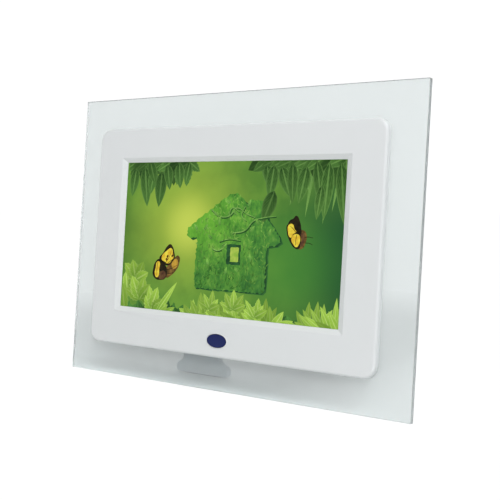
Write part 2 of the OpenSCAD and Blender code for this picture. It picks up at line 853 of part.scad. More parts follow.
module keyholes() {
    for (s = [-1, 1]) translate([s * keyhole_at[0], 0, keyhole_at[1]]) {
        rod([0, 0], keyhole_r, inner_back - 1, cover_back + 1);
        translate([0, 0, keyhole_slot / 2]) slab(inner_back - 1, cover_back + 1)
            slot(keyhole_slot + 2 * keyhole_slot_r, 2 * keyhole_slot_r);
    }
}

module vents() {
    vent_z = cover_h / 2 - cover_edge - vent_gap - vent_h / 2;
    for (i = [0 : vent_count - 1])
        translate([(i - (vent_count - 1) / 2) * vent_pitch, 0, vent_z])
            slab(inner_back - 1, cover_back + 1) slot(vent_h, vent_w);
}

// Openings through the right side wall, in line with the sockets behind it
module port_holes() {
    deep = cover_wall + 2;
    card_hole = [deep, card_slot[1] + 0.3, card_slot[0] + 0.8];
    knob_hole = [deep, knob[1] + 2 * slip, knob[0] + switch_travel + 2 * slip];
    translate([wall_in - 1, board_top_y, 0]) {
        block([0, 0.1, card_z - card_hole[2] / 2], card_hole);
        block([0, 0, usb_z - usb_size[1] / 2], [deep, usb_size[2], usb_size[1]]);
        translate([0, jack_body[2] / 2, jack_z]) rotate([0, 90, 0]) cylinder(r = jack_r + 1.2, h = deep);
        translate([0, power_body[2] / 2, power_z]) rotate([0, 90, 0])
            cylinder(r = power_r + 0.8, h = deep);
        block([0, switch_size[2] / 2 - knob_hole[1] / 2, switch_z - knob_hole[2] / 2], knob_hole);
    }
}

// The leg hangs from its pivot and swings out to the table, where its heel, above the
// pivot, rests on the pocket's floor
module at_leg() {
    placed() translate([stand_x, pivot_y, pivot_z]) rotate([leg_open, 0, 0]) children();
}

module stand_leg() {
    color("#a9aeb4") difference() {
        at_leg() difference() {
            union() {
                slab(-leg_t / 2, leg_t / 2) {
                    leg_outline(0);
                    translate([-leg_w / 2, 0]) square([leg_w, heel]);
                }
                translate([-leg_w / 2, 0, 0]) rotate([0, 90, 0]) cylinder(r = barrel_r, h = leg_w);
            }
            translate([-leg_w, 0, 0]) rotate([0, 90, 0])
                cylinder(r = pin_r + bore_slip, h = 2 * leg_w);
        }
        block([-panel_w, -panel_w, -panel_h], [2 * panel_w, 2 * panel_w, panel_h + 0.6]);
        at_leg() pad_block(bore_slip);
    }
}

// The rubber strip, let into the foot's lower end
module pad_block(grow) {
    block([-pad_w / 2 - grow, -pad_t / 2 - grow, -leg_len - 3], [pad_w + 2 * grow, pad_t + 2 * grow,
        3 + pad_deep + grow]);
}

module stand_pad() {
    color("#2c2c2e") difference() {
        at_leg() pad_block(0);
        block([-panel_w, -panel_w, -panel_h], [2 * panel_w, 2 * panel_w, panel_h]);
    }
}

module hinge_pin() {
    color("#c0c3c6") placed() translate([stand_x - pin_len / 2, pivot_y, pivot_z])
        rotate([0, 90, 0]) cylinder(r = pin_r, h = pin_len);
}

module cover_screws() {
    color("#8a8d90") placed() for (spot = post_spots)
        screw(spot, screw_seat, panel_t - 5, screw_r, head_r, head_h);
}

module rating_label() {
    color("#f4f4f2") placed() translate([34, 0, -30]) slab(cover_back, cover_back + 0.15)
        rounded(52, 24, 1.5);
}

clear_panel();
front_bezel();
bezel_gasket();
sensor_window();
lcd_gasket();
lcd_frame();
lcd_glass();
diffuser_sheet();
light_guide();
led_strip();
backlight_tray();
lcd_flex();
chassis_bracket();
bracket_screws();
main_board();
board_screws();
processor_chip();
memory_chips();
board_capacitors();
board_inductors();
coin_holder();
coin_cell();
card_socket();
usb_port();
headphone_jack();
power_jack();
switch_body();
switch_slider();
key_switches();
arrow_key(0, 90);  // key_up
arrow_key(1, 270);  // key_down
arrow_key(2, 180);  // key_left
arrow_key(3, 0);  // key_right
round_key(4, deep_flange_y);  // key_enter
round_key(5, flange_y);  // key_menu
round_key(6, flange_y);  // key_exit
plunger(0);  // plunger_up
plunger(1);  // plunger_down
plunger(2);  // plunger_left
plunger(3);  // plunger_right
plunger(4);  // plunger_enter
plunger(5);  // plunger_menu
plunger(6);  // plunger_exit
ir_board();
ir_receiver();
ir_lead();
speaker_frames();
speaker_magnets();
speaker_cones();
speaker_leads();
speaker_screws();
rear_cover();
hinge_pin();
stand_leg();
stand_pad();
cover_screws();
rating_label();
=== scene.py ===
import json
import math
import random

import bpy
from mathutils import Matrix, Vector

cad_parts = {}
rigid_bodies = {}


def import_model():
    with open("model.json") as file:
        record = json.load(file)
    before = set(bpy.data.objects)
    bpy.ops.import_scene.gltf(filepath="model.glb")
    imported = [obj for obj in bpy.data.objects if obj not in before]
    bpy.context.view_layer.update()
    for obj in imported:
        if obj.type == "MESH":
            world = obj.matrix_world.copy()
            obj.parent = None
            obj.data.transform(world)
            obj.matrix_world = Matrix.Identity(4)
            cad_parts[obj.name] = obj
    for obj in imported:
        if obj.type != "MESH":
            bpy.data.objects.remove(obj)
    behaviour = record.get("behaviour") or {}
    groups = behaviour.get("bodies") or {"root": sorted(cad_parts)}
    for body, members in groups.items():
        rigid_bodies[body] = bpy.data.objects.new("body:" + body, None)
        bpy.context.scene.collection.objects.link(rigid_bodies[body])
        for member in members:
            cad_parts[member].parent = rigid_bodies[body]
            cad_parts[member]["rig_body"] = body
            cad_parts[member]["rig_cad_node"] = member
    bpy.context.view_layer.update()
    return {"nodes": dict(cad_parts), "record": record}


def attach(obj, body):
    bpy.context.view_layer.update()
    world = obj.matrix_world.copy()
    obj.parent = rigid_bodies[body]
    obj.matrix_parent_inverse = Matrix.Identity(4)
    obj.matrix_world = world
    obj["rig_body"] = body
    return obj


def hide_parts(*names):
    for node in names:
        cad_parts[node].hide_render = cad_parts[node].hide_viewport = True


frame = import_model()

mm = 0.001
chance = random.Random(7)

# The housing leans back on the clear panel's lower edge. Its own axes are x to the right, y back from
# the panel's face and z up from the panel's middle, in millimetres
lean = {"angle": 5.5, "panelMiddle": 84.0, "panelThick": 3.0}
clearPanel = frame["nodes"]["clear_panel"]
panelFront = min((clearPanel.matrix_world @ Vector(corner)).y for corner in clearPanel.bound_box) / mm


def leanedPoint(x, y, z):
    a = math.radians(lean["angle"])
    up = z + lean["panelMiddle"]
    return Vector((x, y * math.cos(a) + up * math.sin(a) + panelFront,
                   up * math.cos(a) + (lean["panelThick"] - y) * math.sin(a))) * mm


def clearSelection():
    if bpy.context.object and bpy.context.object.mode != "OBJECT":
        bpy.ops.object.mode_set(mode="OBJECT")
    bpy.ops.object.select_all(action="DESELECT")


def pick(piece):
    clearSelection()
    piece.select_set(True)
    bpy.context.view_layer.objects.active = piece


def applyPlace(piece):
    pick(piece)
    bpy.ops.object.transform_apply(location=True, rotation=True, scale=True)


def leanBack(piece):
    pick(piece)
    piece.location = leanedPoint(0, 0, 0)
    piece.rotation_euler = (-math.radians(lean["angle"]), 0, 0)
    applyPlace(piece)


def useModifier(piece, kind, **values):
    pick(piece)
    modifier = piece.modifiers.new(kind.title(), kind)
    for key, value in values.items():
        setattr(modifier, key, value)
    bpy.ops.object.modifier_apply(modifier=modifier.name)


def smoothByAngle(piece, degrees):
    pick(piece)
    bpy.ops.object.shade_smooth_by_angle(angle=math.radians(degrees))


def joinAll(pieces, name):
    clearSelection()
    for piece in pieces:
        piece.select_set(True)
    bpy.context.view_layer.objects.active = pieces[0]
    if len(pieces) > 1:
        bpy.ops.object.join()
    joined = bpy.context.view_layer.objects.active
    joined.name = joined.data.name = name
    return joined


def dress(piece, material):
    piece.data.materials.clear()
    piece.data.materials.append(material)


# materials: one look per record slot, each with its own grain, bump, colour drift and wear


def tone(code):
    parts = [int(code[i:i + 2], 16) / 255 for i in (1, 3, 5)]
    return tuple(c / 12.92 if c <= 0.04045 else ((c + 0.055) / 1.055) ** 2.4 for c in parts) + (1.0,)


class Paint:
    # a material's node tree with short ways to add what every finish here uses
    def __init__(self, name, colour, roughness, **sockets):
        self.material = bpy.data.materials.new(name)
        self.material.use_nodes = True
        self.nodes = self.material.node_tree.nodes
        self.links = self.material.node_tree.links
        self.shader = self.nodes["Principled BSDF"]
        self.shader.inputs["Base Color"].default_value = colour
        self.shader.inputs["Roughness"].default_value = roughness
        for key, value in sockets.items():
            self.shader.inputs[key].default_value = value
        self.place = self.nodes.new("ShaderNodeTexCoord").outputs["Object"]

    def add(self, kind, inputs=None, **values):
        node = self.nodes.new(kind)
        for key, value in values.items():
            setattr(node, key, value)
        for key, value in (inputs or {}).items():
            if isinstance(value, bpy.types.NodeSocket):
                self.links.new(value, node.inputs[key])
            else:
                node.inputs[key].default_value = value
        return node

    def mapped(self, scale=(1, 1, 1), turn=(0, 0, 0), centre=(0, 0, 0)):
        moved = self.add("ShaderNodeVectorMath", {0: self.place, 1: centre}, operation="SUBTRACT")
        return self.add("ShaderNodeMapping", {"Vector": moved.outputs[0], "Rotation": turn,
                                              "Scale": scale}).outputs[0]

    def noise(self, scale, detail=2.0, roughness=0.5, source=None):
        return self.add("ShaderNodeTexNoise", {"Vector": source or self.place, "Scale": scale,
                                               "Detail": detail, "Roughness": roughness}).outputs["Fac"]

    def ramp(self, fac, stops):
        node = self.add("ShaderNodeValToRGB", {"Fac": fac})
        while len(node.color_ramp.elements) < len(stops):
            node.color_ramp.elements.new(0.5)
        for element, (at, colour) in zip(node.color_ramp.elements, stops):
            element.position = at
            element.color = colour
        return node.outputs["Color"]

    def span(self, value, low, high, toLow, toHigh):
        return self.add("ShaderNodeMapRange", {"Value": value, "From Min": low, "From Max": high,
                                               "To Min": toLow, "To Max": toHigh}).outputs["Result"]

    def mix(self, fac, first, second):
        return self.add("ShaderNodeMix", {0: fac, 6: first, 7: second}, data_type="RGBA").outputs[2]

    def edgeWear(self, most, radius):
        # 0 on flat walls, up to most where the wall turns a corner
        rounded = self.add("ShaderNodeBevel", {"Radius": radius * mm}, samples=4).outputs[0]
        plain = self.add("ShaderNodeNewGeometry").outputs["Normal"]
        turn = self.add("ShaderNodeVectorMath", {0: rounded, 1: plain}, operation="DOT_PRODUCT")
        return self.span(turn.outputs["Value"], 0.99, 0.85, 0.0, most)

    def calc(self, operation, *values):
        return self.add("ShaderNodeMath", dict(enumerate(values)), operation=operation).outputs[0]

    def partly(self, fac, share, first, second):
        return self.mix(self.calc("MULTIPLY", fac, share), first, second)

    def colour(self, socket):
        self.links.new(socket, self.shader.inputs["Base Color"])

    def rough(self, socket):
        self.links.new(socket, self.shader.inputs["Roughness"])

    def bump(self, height, depth):
        node = self.add("ShaderNodeBump", {"Height": height, "Distance": depth * mm, "Strength": 1.0})
        self.links.new(node.outputs["Normal"], self.shader.inputs["Normal"])

    def showOther(self, share, other):
        # another shader takes the place of the surface's own, by a share
        both = self.add("ShaderNodeMixShader", {0: share, 1: self.shader.outputs[0], 2: other.outputs[0]})
        self.links.new(both.outputs[0], self.nodes["Material Output"].inputs["Surface"])


def lighter(colour, factor):
    return tuple(min(1.0, c * factor) for c in colour[:3]) + (1.0,)


# what a moulded finish has where its own look doesn't say
mouldedUsual = {"wear": 0.3, "wearReach": 0.35, "wearTint": 1.15, "smudge": 0.05, "sockets": {}}


def mouldedFinish(name, look):
    # moulded plastic and rubber: fine spark texture, slow colour drift, polished wear on raised edges
    look = {**mouldedUsual, **look}
    base = tone(look["colour"])
    paint = Paint(name, base, look["roughness"], **look["sockets"])
    drift = paint.span(paint.noise(14, 3.0), 0.3, 0.7, 0.0, 1.0)
    body = paint.mix(drift, lighter(base, 1 - look["drift"]), lighter(base, 1 + look["drift"]))
    worn = paint.edgeWear(look["wear"], look["wearReach"])
    paint.colour(paint.mix(worn, body, lighter(base, look["wearTint"])))
    grain = paint.noise(look["grainScale"], 2.0, 0.6)
    smudge = paint.noise(45, 4.0, 0.55)
    paint.rough(paint.span(smudge, 0.3, 0.7, look["roughness"] - look["smudge"],
                           look["roughness"] + look["smudge"]))
    paint.bump(grain, look["grainDepth"])
    return paint.material


def metalFinish(name, look):
    # plated or bare sheet: brushed along one axis, with dull spots
    base = tone(look["colour"])
    paint = Paint(name, base, look["roughness"], Metallic=1.0)
    brushed = paint.noise(60, 3.0, 0.6, paint.mapped(scale=look.get("brush", (1, 30, 30))))
    spots = paint.noise(120, 4.0, 0.6)
    paint.colour(paint.mix(paint.span(spots, 0.45, 0.75, 0.0, 0.35), base, lighter(base, 0.72)))
    paint.rough(paint.span(brushed, 0.25, 0.75, look["roughness"] - 0.07, look["roughness"] + 0.1))
    paint.bump(brushed, 0.02)
    return paint.material


def boardFinish(name, look):
    # green lacquer over copper: tracks as stepped lines, small bright pads, glass-weave bump
    paint = Paint(name, tone(look["colour"]), 0.35, **{"Coat Weight": 0.3})
    along = paint.mapped(turn=(math.radians(lean["angle"]), 0, 0))
    face = paint.mapped(turn=(math.radians(90 + lean["angle"]), 0, 0))
    tracks = paint.add("ShaderNodeTexBrick", {"Vector": face, "Scale": 130.0, "Mortar Size": 0.08,
                                              "Color1": (0, 0, 0, 1), "Color2": (0.1, 0.1, 0.1, 1),
                                              "Mortar": (1, 1, 1, 1)}).outputs["Fac"]
    broken = paint.noise(90, 1.0, 0.4, along)
    shown = paint.calc("MULTIPLY", tracks, paint.span(broken, 0.45, 0.55, 0, 1))
    green = paint.mix(shown, tone(look["colour"]), tone(look["track"]))
    dots = paint.add("ShaderNodeTexVoronoi", {"Vector": along, "Scale": 260.0, "Randomness": 0.6})
    pads = paint.span(dots.outputs["Distance"], 0.12, 0.16, 1.0, 0.0)
    paint.colour(paint.mix(pads, green, tone(look["pad"])))
    paint.bump(shown, 0.03)
    return paint.material


def cellFinish(name, look):
    # foam, pressed paper and ferrite: small cells pressed into a dull surface
    base = tone(look["colour"])
    paint = Paint(name, base, look["roughness"])
    cellular = paint.add("ShaderNodeTexVoronoi", {"Vector": paint.place, "Scale": look["cells"]})
    cells = cellular.outputs["Distance"]
    paint.colour(paint.mix(paint.span(cells, 0.0, 0.6, 0.0, 1.0), lighter(base, 0.6), lighter(base, 1.5)))
    paint.rough(paint.span(paint.noise(80), 0.3, 0.7, look["roughness"] - 0.08, look["roughness"]))
    paint.bump(cells, look["cellDepth"])
    return paint.material


def clearFinish(name, look):
    # clear sheet: light passes it, so it throws no hard shadow; faint haze and polishing lines
    base = tone(look["colour"])
    paint = Paint(name, base, look["roughness"],
                  **{"Transmission Weight": look["clarity"], "IOR": look["ior"]})
    haze = paint.noise(30, 4.0, 0.6)
    paint.rough(paint.span(haze, 0.35, 0.7, look["roughness"], look["roughness"] + look["haze"]))
    tint = paint.span(paint.noise(5, 2.0), 0.3, 0.7, 0.0, 1.0)
    paint.colour(paint.mix(tint, lighter(base, 0.985), lighter(base, 1.015)))
    paint.bump(paint.noise(120, 2.0), 0.001)
    passing = paint.add("ShaderNodeBsdfTransparent", {"Color": base})
    paint.showOther(paint.add("ShaderNodeLightPath").outputs["Is Shadow Ray"], passing)
    return paint.material


def labelFinish(name, look):
    # coated film with a faint paper fibre
    base = tone(look["colour"])
    paint = Paint(name, base, look["roughness"], **{"Coat Weight": 0.25, "Coat Roughness": 0.2})
    fibre = paint.noise(300, 3.0, 0.7, paint.mapped(scale=(1, 1, 4)))
    paint.colour(paint.mix(paint.span(fibre, 0.35, 0.7, 0, 1), lighter(base, 0.94), base))
    paint.rough(paint.span(fibre, 0.3, 0.7, look["roughness"] - 0.05, look["roughness"] + 0.05))
    paint.bump(fibre, 0.01)
    return paint.material


finishMakers = {"moulded": mouldedFinish, "metal": metalFinish, "board": boardFinish,
                "cell": cellFinish, "clear": clearFinish, "label": labelFinish}

finishes = {
    "clear_acrylic": {"kind": "clear", "colour": "#e5eaea", "roughness": 0.03, "haze": 0.05, "ior": 1.49,
                      "clarity": 0.82},
    "white_plastic": {"kind": "moulded", "colour": "#e0e3e4", "roughness": 0.32, "drift": 0.012,
                      "grainScale": 900, "grainDepth": 0.006, "smudge": 0.012, "wear": 0.15,
                      "wearTint": 1.06},
    "sensor_plastic": {"kind": "moulded", "colour": "#16235c", "roughness": 0.2, "drift": 0.1,
                       "grainScale": 300, "grainDepth": 0.002, "smudge": 0.04, "wear": 0.9,
                       "wearTint": 0.3, "wearReach": 1.1, "sockets": {"Specular IOR Level": 0.3}},
    "foam": {"kind": "cell", "colour": "#232324", "roughness": 0.95, "cells": 1500, "cellDepth": 0.12},
    "sheet_steel": {"kind": "metal", "colour": "#b9bbbd", "roughness": 0.34},
    "display_glass": {"kind": "moulded", "colour": "#0a0d0b", "roughness": 0.22, "drift": 0.1,
                      "grainScale": 1200, "grainDepth": 0.002, "smudge": 0.04},
    "backlight_plastic": {"kind": "moulded", "colour": "#efefec", "roughness": 0.6, "drift": 0.02,
                          "grainScale": 500, "grainDepth": 0.01},
    "light_guide_acrylic": {"kind": "clear", "colour": "#eef4f5", "roughness": 0.05, "haze": 0.1,
                            "ior": 1.49, "clarity": 1.0},
    "flex_film": {"kind": "moulded", "colour": "#b97a2a", "roughness": 0.3, "drift": 0.08,
                  "grainScale": 250, "grainDepth": 0.01},
    "circuit_board": {"kind": "board", "colour": "#1c5a33", "track": "#2f8050", "pad": "#c9b36a"},
    "chip_plastic": {"kind": "moulded", "colour": "#202123", "roughness": 0.6, "drift": 0.08,
                     "grainScale": 700, "grainDepth": 0.015},
    "can_sleeve": {"kind": "moulded", "colour": "#2c3a70", "roughness": 0.3, "drift": 0.06,
                   "grainScale": 200, "grainDepth": 0.01},
    "ferrite": {"kind": "cell", "colour": "#3c3c3d", "roughness": 0.8, "cells": 2500, "cellDepth": 0.03},
    "holder_plastic": {"kind": "moulded", "colour": "#e2dfd2", "roughness": 0.45, "drift": 0.03,
                       "grainScale": 500, "grainDepth": 0.01},
    "plated_metal": {"kind": "metal", "colour": "#d2d4d6", "roughness": 0.22},
    "screw_steel": {"kind": "metal", "colour": "#a8aaad", "roughness": 0.3, "brush": (8, 8, 8)},
    "black_plastic": {"kind": "moulded", "colour": "#1d1e20", "roughness": 0.42, "drift": 0.08,
                      "grainScale": 700, "grainDepth": 0.012, "wearTint": 1.6},
    "key_plastic": {"kind": "moulded", "colour": "#d3d7db", "roughness": 0.3, "drift": 0.02,
                    "grainScale": 900, "grainDepth": 0.006},
    "cover_plastic": {"kind": "moulded", "colour": "#c3c7ca", "roughness": 0.5, "drift": 0.02,
                      "grainScale": 1100, "grainDepth": 0.03, "wear": 0.3, "wearTint": 1.12},
    "leg_plastic": {"kind": "moulded", "colour": "#d3d8df", "roughness": 0.45, "drift": 0.03,
                    "grainScale": 1100, "grainDepth": 0.03, "wear": 0.3, "wearTint": 1.15},
    "rubber": {"kind": "moulded", "colour": "#26272a", "roughness": 0.85, "drift": 0.12,
               "grainScale": 500, "grainDepth": 0.04, "wearTint": 1.5},
    "label": {"kind": "label", "colour": "#eeeeea", "roughness": 0.45},
    "magnet": {"kind": "metal", "colour": "#6d6e70", "roughness": 0.4, "brush": (6, 6, 6)},
    "paper_cone": {"kind": "cell", "colour": "#2a2a2b", "roughness": 0.9, "cells": 1800,
                   "cellDepth": 0.05},
    "lead_sleeve": {"kind": "moulded", "colour": "#84878b", "roughness": 0.45, "drift": 0.05,
                    "grainScale": 400, "grainDepth": 0.01},
    "speaker_lead_sleeve": {"kind": "moulded", "colour": "#a62a2a", "roughness": 0.45, "drift": 0.05,
                            "grainScale": 400, "grainDepth": 0.01},
}

materials = {slot: finishMakers[look["kind"]](slot, look) for slot, look in finishes.items()}
slotOf = {part["node"]: part["material_slot"] for part in frame["record"]["subparts"]}
for node, slot in slotOf.items():
    dress(frame["nodes"][node], materials[slot])
print("materials:", len(materials), "finishes on", len(slotOf), "nodes")

# CAD parts with their edges softened


refining = {"mergeWithin": 0.002, "flatWithin": 0.5, "bevelSteps": 2, "largeFaceWeight": 80}


def refined(node, name, edge, edgeAngle):
    # a merged copy of a CAD part with its sharp edges broken, as a moulding's are
    pick(frame["nodes"][node])
    bpy.ops.object.duplicate()
    piece = bpy.context.view_layer.objects.active
    body = piece["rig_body"]
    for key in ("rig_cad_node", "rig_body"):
        del piece[key]
    piece.parent = None
    piece.name = piece.data.name = name
    bpy.ops.object.mode_set(mode="EDIT")
    bpy.ops.mesh.select_all(action="SELECT")
    bpy.ops.mesh.remove_doubles(threshold=refining["mergeWithin"] * mm)
    bpy.ops.mesh.dissolve_limited(angle_limit=math.radians(refining["flatWithin"]))
    bpy.ops.object.mode_set(mode="OBJECT")
    if edge:
        useModifier(piece, "BEVEL", width=edge * mm, segments=refining["bevelSteps"],
                    limit_method="ANGLE", angle_limit=math.radians(edgeAngle), use_clamp_overlap=False,
                    miter_outer="MITER_ARC", harden_normals=False)
    useModifier(piece, "TRIANGULATE")
    smoothByAngle(piece, edgeAngle)
    useModifier(piece, "WEIGHTED_NORMAL", keep_sharp=True, weight=refining["largeFaceWeight"])
    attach(piece, body)
    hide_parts(node)


# how wide each part's softened edges are, in millimetres
softEdges = {
    "clear_panel": 0.3, "front_bezel": 0.2, "rear_cover": 0.2, "stand_leg": 0.35, "stand_pad": 0.3,
    "switch_slider": 0.12, "key_up": 0.18, "key_down": 0.18, "key_left": 0.18, "key_right": 0.18,
    "key_enter": 0.18, "key_menu": 0.18, "key_exit": 0.18, "sensor_window": 0.25, "cover_screws": 0.08,
    "rating_label": 0.0,
}
usualEdgeAngle = 32  # degrees between two faces from which their edge is softened
shallowEdgeAngles = {"front_bezel": 20, "sensor_window": 20}
for node, edge in softEdges.items():
    refined(node, node.replace("_", "-") + "-finished", edge, shallowEdgeAngles.get(node, usualEdgeAngle))
print("softened parts:", len(softEdges))

sensorRim = {"across": 14.6, "tall": 8.2, "bead": 0.32, "centreUp": -55.6, "front": -4.42}


def makeSensorRim():
    # a raised bead round the dark receiver window
    clearSelection()
    bpy.ops.mesh.primitive_torus_add(major_radius=sensorRim["across"] / 2 * mm,
                                     minor_radius=sensorRim["bead"] * mm, major_segments=72,
                                     minor_segments=12, rotation=(math.radians(90), 0, 0))
    rim = bpy.context.object
    applyPlace(rim)
    rim.scale.z = sensorRim["tall"] / sensorRim["across"]
    rim.location = (0, sensorRim["front"] * mm, sensorRim["centreUp"] * mm)
    applyPlace(rim)
    leanBack(rim)
    rim.name = rim.data.name = "sensor-rim"
    smoothByAngle(rim, 60)
    dress(rim, materials["white_plastic"])
    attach(rim, "housing")


makeSensorRim()

# the lit picture, drawn as thin flat layers in front of the display glass

picture = {"width": 154.1, "height": 86.6, "centreUp": 1.2, "glassFront": -1.8, "layerStep": 0.02,
           "glow": 0.92}

# how many layer steps each drawing stands in front of the glass
layers = {"backdrop": 1, "topLeaves": 2, "topBlades": 2.5, "houseShade": 3, "houseEdge": 3.3, "house": 4,
          "houseBlades": 4.5, "windowFrame": 5, "groundBack": 5, "vineShade": 5.6, "windowPane": 6,
          "vine": 6, "sprigs": 7, "groundLeaves": 8, "butterflyLines": 11}


def litFinish(name):
    # a picture layer: dark in itself, it gives its colour as light from the backlight
    return Paint(name, (0.004, 0.004, 0.004, 1), 0.35,
                 **{"Emission Strength": picture["glow"], "Specular IOR Level": 0.05})


def glowWith(paint, socket):
    paint.links.new(socket, paint.shader.inputs["Emission Color"])
    return paint.material


def pictureCoordinates(paint):
    # x to the right and z up over the picture, in millimetres from its middle
    centre = leanedPoint(0, picture["glassFront"], picture["centreUp"])
    flat = paint.mapped(turn=(math.radians(lean["angle"]), 0, 0), centre=tuple(centre))
    return paint.add("ShaderNodeVectorMath", {0: flat, 3: 1 / mm}, operation="SCALE").outputs[0]


def radial(paint, across, up, stretch, near, far):
    # 1 within near of a spot of the picture, falling to 0 at far
    flat = pictureCoordinates(paint)
    moved = paint.add("ShaderNodeVectorMath", {0: flat, 1: (across, 0, up)}, operation="SUBTRACT")
    squeezed = paint.add("ShaderNodeVectorMath", {0: moved.outputs[0], 1: (1 / stretch, 0, 1)},
                         operation="MULTIPLY")
    reach = paint.add("ShaderNodeVectorMath", {0: squeezed.outputs[0]}, operation="LENGTH")
    return paint.add("ShaderNodeMapRange", {"Value": reach.outputs["Value"], "From Min": near,
                                            "From Max": far, "To Min": 1.0, "To Max": 0.0},
                     interpolation_type="SMOOTHSTEP").outputs["Result"]


backdropTones = ("#558634", "#6f9e3c")
backdropSpots = (
    # across, up, stretch, full within, gone beyond, share and tone, laid one over the other
    (84, -8, 1.0, 14, 78, 1.0, "#285c30"),
    (44, -12, 1.0, 6, 40, 0.55, "#4f9638"),
    (-18, 40, 1.4, 0, 44, 0.25, "#94b446"),
    (-86, -6, 1.0, 6, 40, 0.5, "#48702c"),
    (-30, 8, 1.15, 4, 50, 0.8, "#a9c247"),
    (-27, 7, 1.0, 2, 24, 0.9, "#c9d95a"),
)


def backdropFinish():
    paint = litFinish("picture-backdrop")
    dark, light = backdropTones
    base = paint.mix(paint.span(paint.noise(60, 3.0, 0.5), 0.35, 0.65, 0.0, 1.0), tone(dark), tone(light))
    for across, up, stretch, near, far, share, colour in backdropSpots:
        base = paint.partly(radial(paint, across, up, stretch, near, far), share, base, tone(colour))
    return glowWith(paint, base)


leafTones = {
    # shaded, lit and vein tone of each kind of leaf
    "picture-dark-leaf": ("#244b1a", "#528238", "#84b45e"),
    "picture-blade": ("#3f7430", "#6fa348", "#a3c878"),
    "picture-house-blade": ("#3f7f2c", "#8ac24c", "#b0da78"),
    "picture-sprig": ("#3d7a2c", "#7fbf4a", "#a4d678"),
    "picture-ground-back-leaf": ("#28552a", "#4d8a38", "#6da652"),
    "picture-ground-leaf": ("#6f9f30", "#a4d048", "#d2ec8c"),
}


def leafFinish(name):
    # tones run from stalk to tip, with a mid rib, slanting veins and a pale rim, on the leaf's own map
    dark, light, vein = leafTones[name]
    paint = litFinish(name)
    leafMap = paint.add("ShaderNodeUVMap", uv_map="leaf").outputs[0]
    split = paint.add("ShaderNodeSeparateXYZ", {0: leafMap}).outputs
    across, along = split[0], split[1]
    blotch = paint.noise(420, 3.0, 0.65)
    mixed = paint.calc("ADD", paint.span(along, 0.0, 1.0, -0.3, 0.8), blotch)
    body = paint.mix(paint.span(mixed, 0.2, 1.1, 0.0, 1.0), tone(dark), tone(light))
    side = paint.calc("ABSOLUTE", paint.calc("SUBTRACT", across, 0.5))
    rib = paint.span(side, 0.03, 0.1, 1.0, 0.0)
    slant = paint.calc("MULTIPLY_ADD", side, -0.9, along)
    veins = paint.span(paint.calc("SINE", paint.calc("MULTIPLY", slant, 46.0)), 0.7, 1.0, 0.0, 0.6)
    rim = paint.span(side, 0.36, 0.5, 0.0, 0.9)
    lines = paint.calc("MAXIMUM", paint.calc("MAXIMUM", rib, veins), rim)
    body = paint.partly(lines, 0.6, body, tone(vein))
    shade = paint.add("ShaderNodeAttribute", attribute_name="shade").outputs["Fac"]
    return glowWith(paint, paint.mix(shade, body, lighter(tone(dark), 0.6)))


grassTones = ((0.0, "#27561f"), (0.35, "#4a8a33"), (0.62, "#66a83a"), (1.0, "#9ccb58"))


def grassFinish():
    paint = litFinish("picture-grass-wall")
    blades = paint.noise(420, 4.0, 0.75, paint.mapped(scale=(1.6, 1, 0.8)))
    clumps = paint.noise(120, 3.0, 0.6)
    mixed = paint.span(paint.calc("ADD", blades, clumps), 0.65, 1.4, 0.0, 1.0)
    body = paint.ramp(mixed, [(at, tone(colour)) for at, colour in grassTones])
    body = paint.partly(radial(paint, -22, 12, 1.0, 4, 34), 0.5, body, tone("#74c035"))
    flat = paint.add("ShaderNodeSeparateXYZ", {0: pictureCoordinates(paint)})
    low = paint.span(flat.outputs[2], -26, 6, 0.35, 0.0)  # shaded towards the ground
    body = paint.mix(low, body, tone("#235430"))
    right = paint.span(flat.outputs[0], 8, 34, 0.0, 0.4)  # and away from the light on the left
    return glowWith(paint, paint.mix(right, body, tone("#2d6a3a")))


def plainLit(name, dark, light, scale):
    paint = litFinish(name)
    mottle = paint.span(paint.noise(scale, 3.0, 0.6), 0.35, 0.65, 0, 1)
    return glowWith(paint, paint.mix(mottle, tone(dark), tone(light)))


def ontoPicture(piece, layer, name, material):
    # turns a flat drawing in x and y into its layer of the leaning picture
    pick(piece)
    depth = picture["glassFront"] - picture["layerStep"] * layer
    piece.rotation_euler = (math.radians(90), 0, 0)
    piece.location = (0, depth * mm, picture["centreUp"] * mm)
    applyPlace(piece)
    leanBack(piece)
    piece.name = piece.data.name = name
    dress(piece, material)
    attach(piece, "housing")


def trimToWindow(piece):
    # cuts off what would run under the bezel
    pick(piece)
    halfWide, halfHigh = picture["width"] / 2 * mm, picture["height"] / 2 * mm
    for point, normal in (((halfWide, 0, 0), (1, 0, 0)), ((-halfWide, 0, 0), (-1, 0, 0)),
                          ((0, halfHigh, 0), (0, 1, 0)), ((0, -halfHigh, 0), (0, -1, 0))):
        bpy.ops.object.mode_set(mode="EDIT")
        bpy.ops.mesh.select_all(action="SELECT")
        bpy.ops.mesh.bisect(plane_co=point, plane_no=normal, clear_outer=True)
        bpy.ops.object.mode_set(mode="OBJECT")


def flatShape(points, smooth=False):
    # a filled outline through the points, in millimetres
    clearSelection()
    bpy.ops.curve.primitive_bezier_circle_add(radius=1)
    curve = bpy.context.object
    curve.data.dimensions = "2D"
    curve.data.fill_mode = "BOTH"
    curve.data.resolution_u = 6 if smooth else 1
    spline = curve.data.splines[0]
    spline.bezier_points.add(max(0, len(points) - 4))
    for knot, (across, up) in zip(spline.bezier_points, points):
        knot.co = (across * mm, up * mm, 0)
        knot.handle_left_type = knot.handle_right_type = "AUTO" if smooth else "VECTOR"
    bpy.ops.object.convert(target="MESH")
    return bpy.context.object


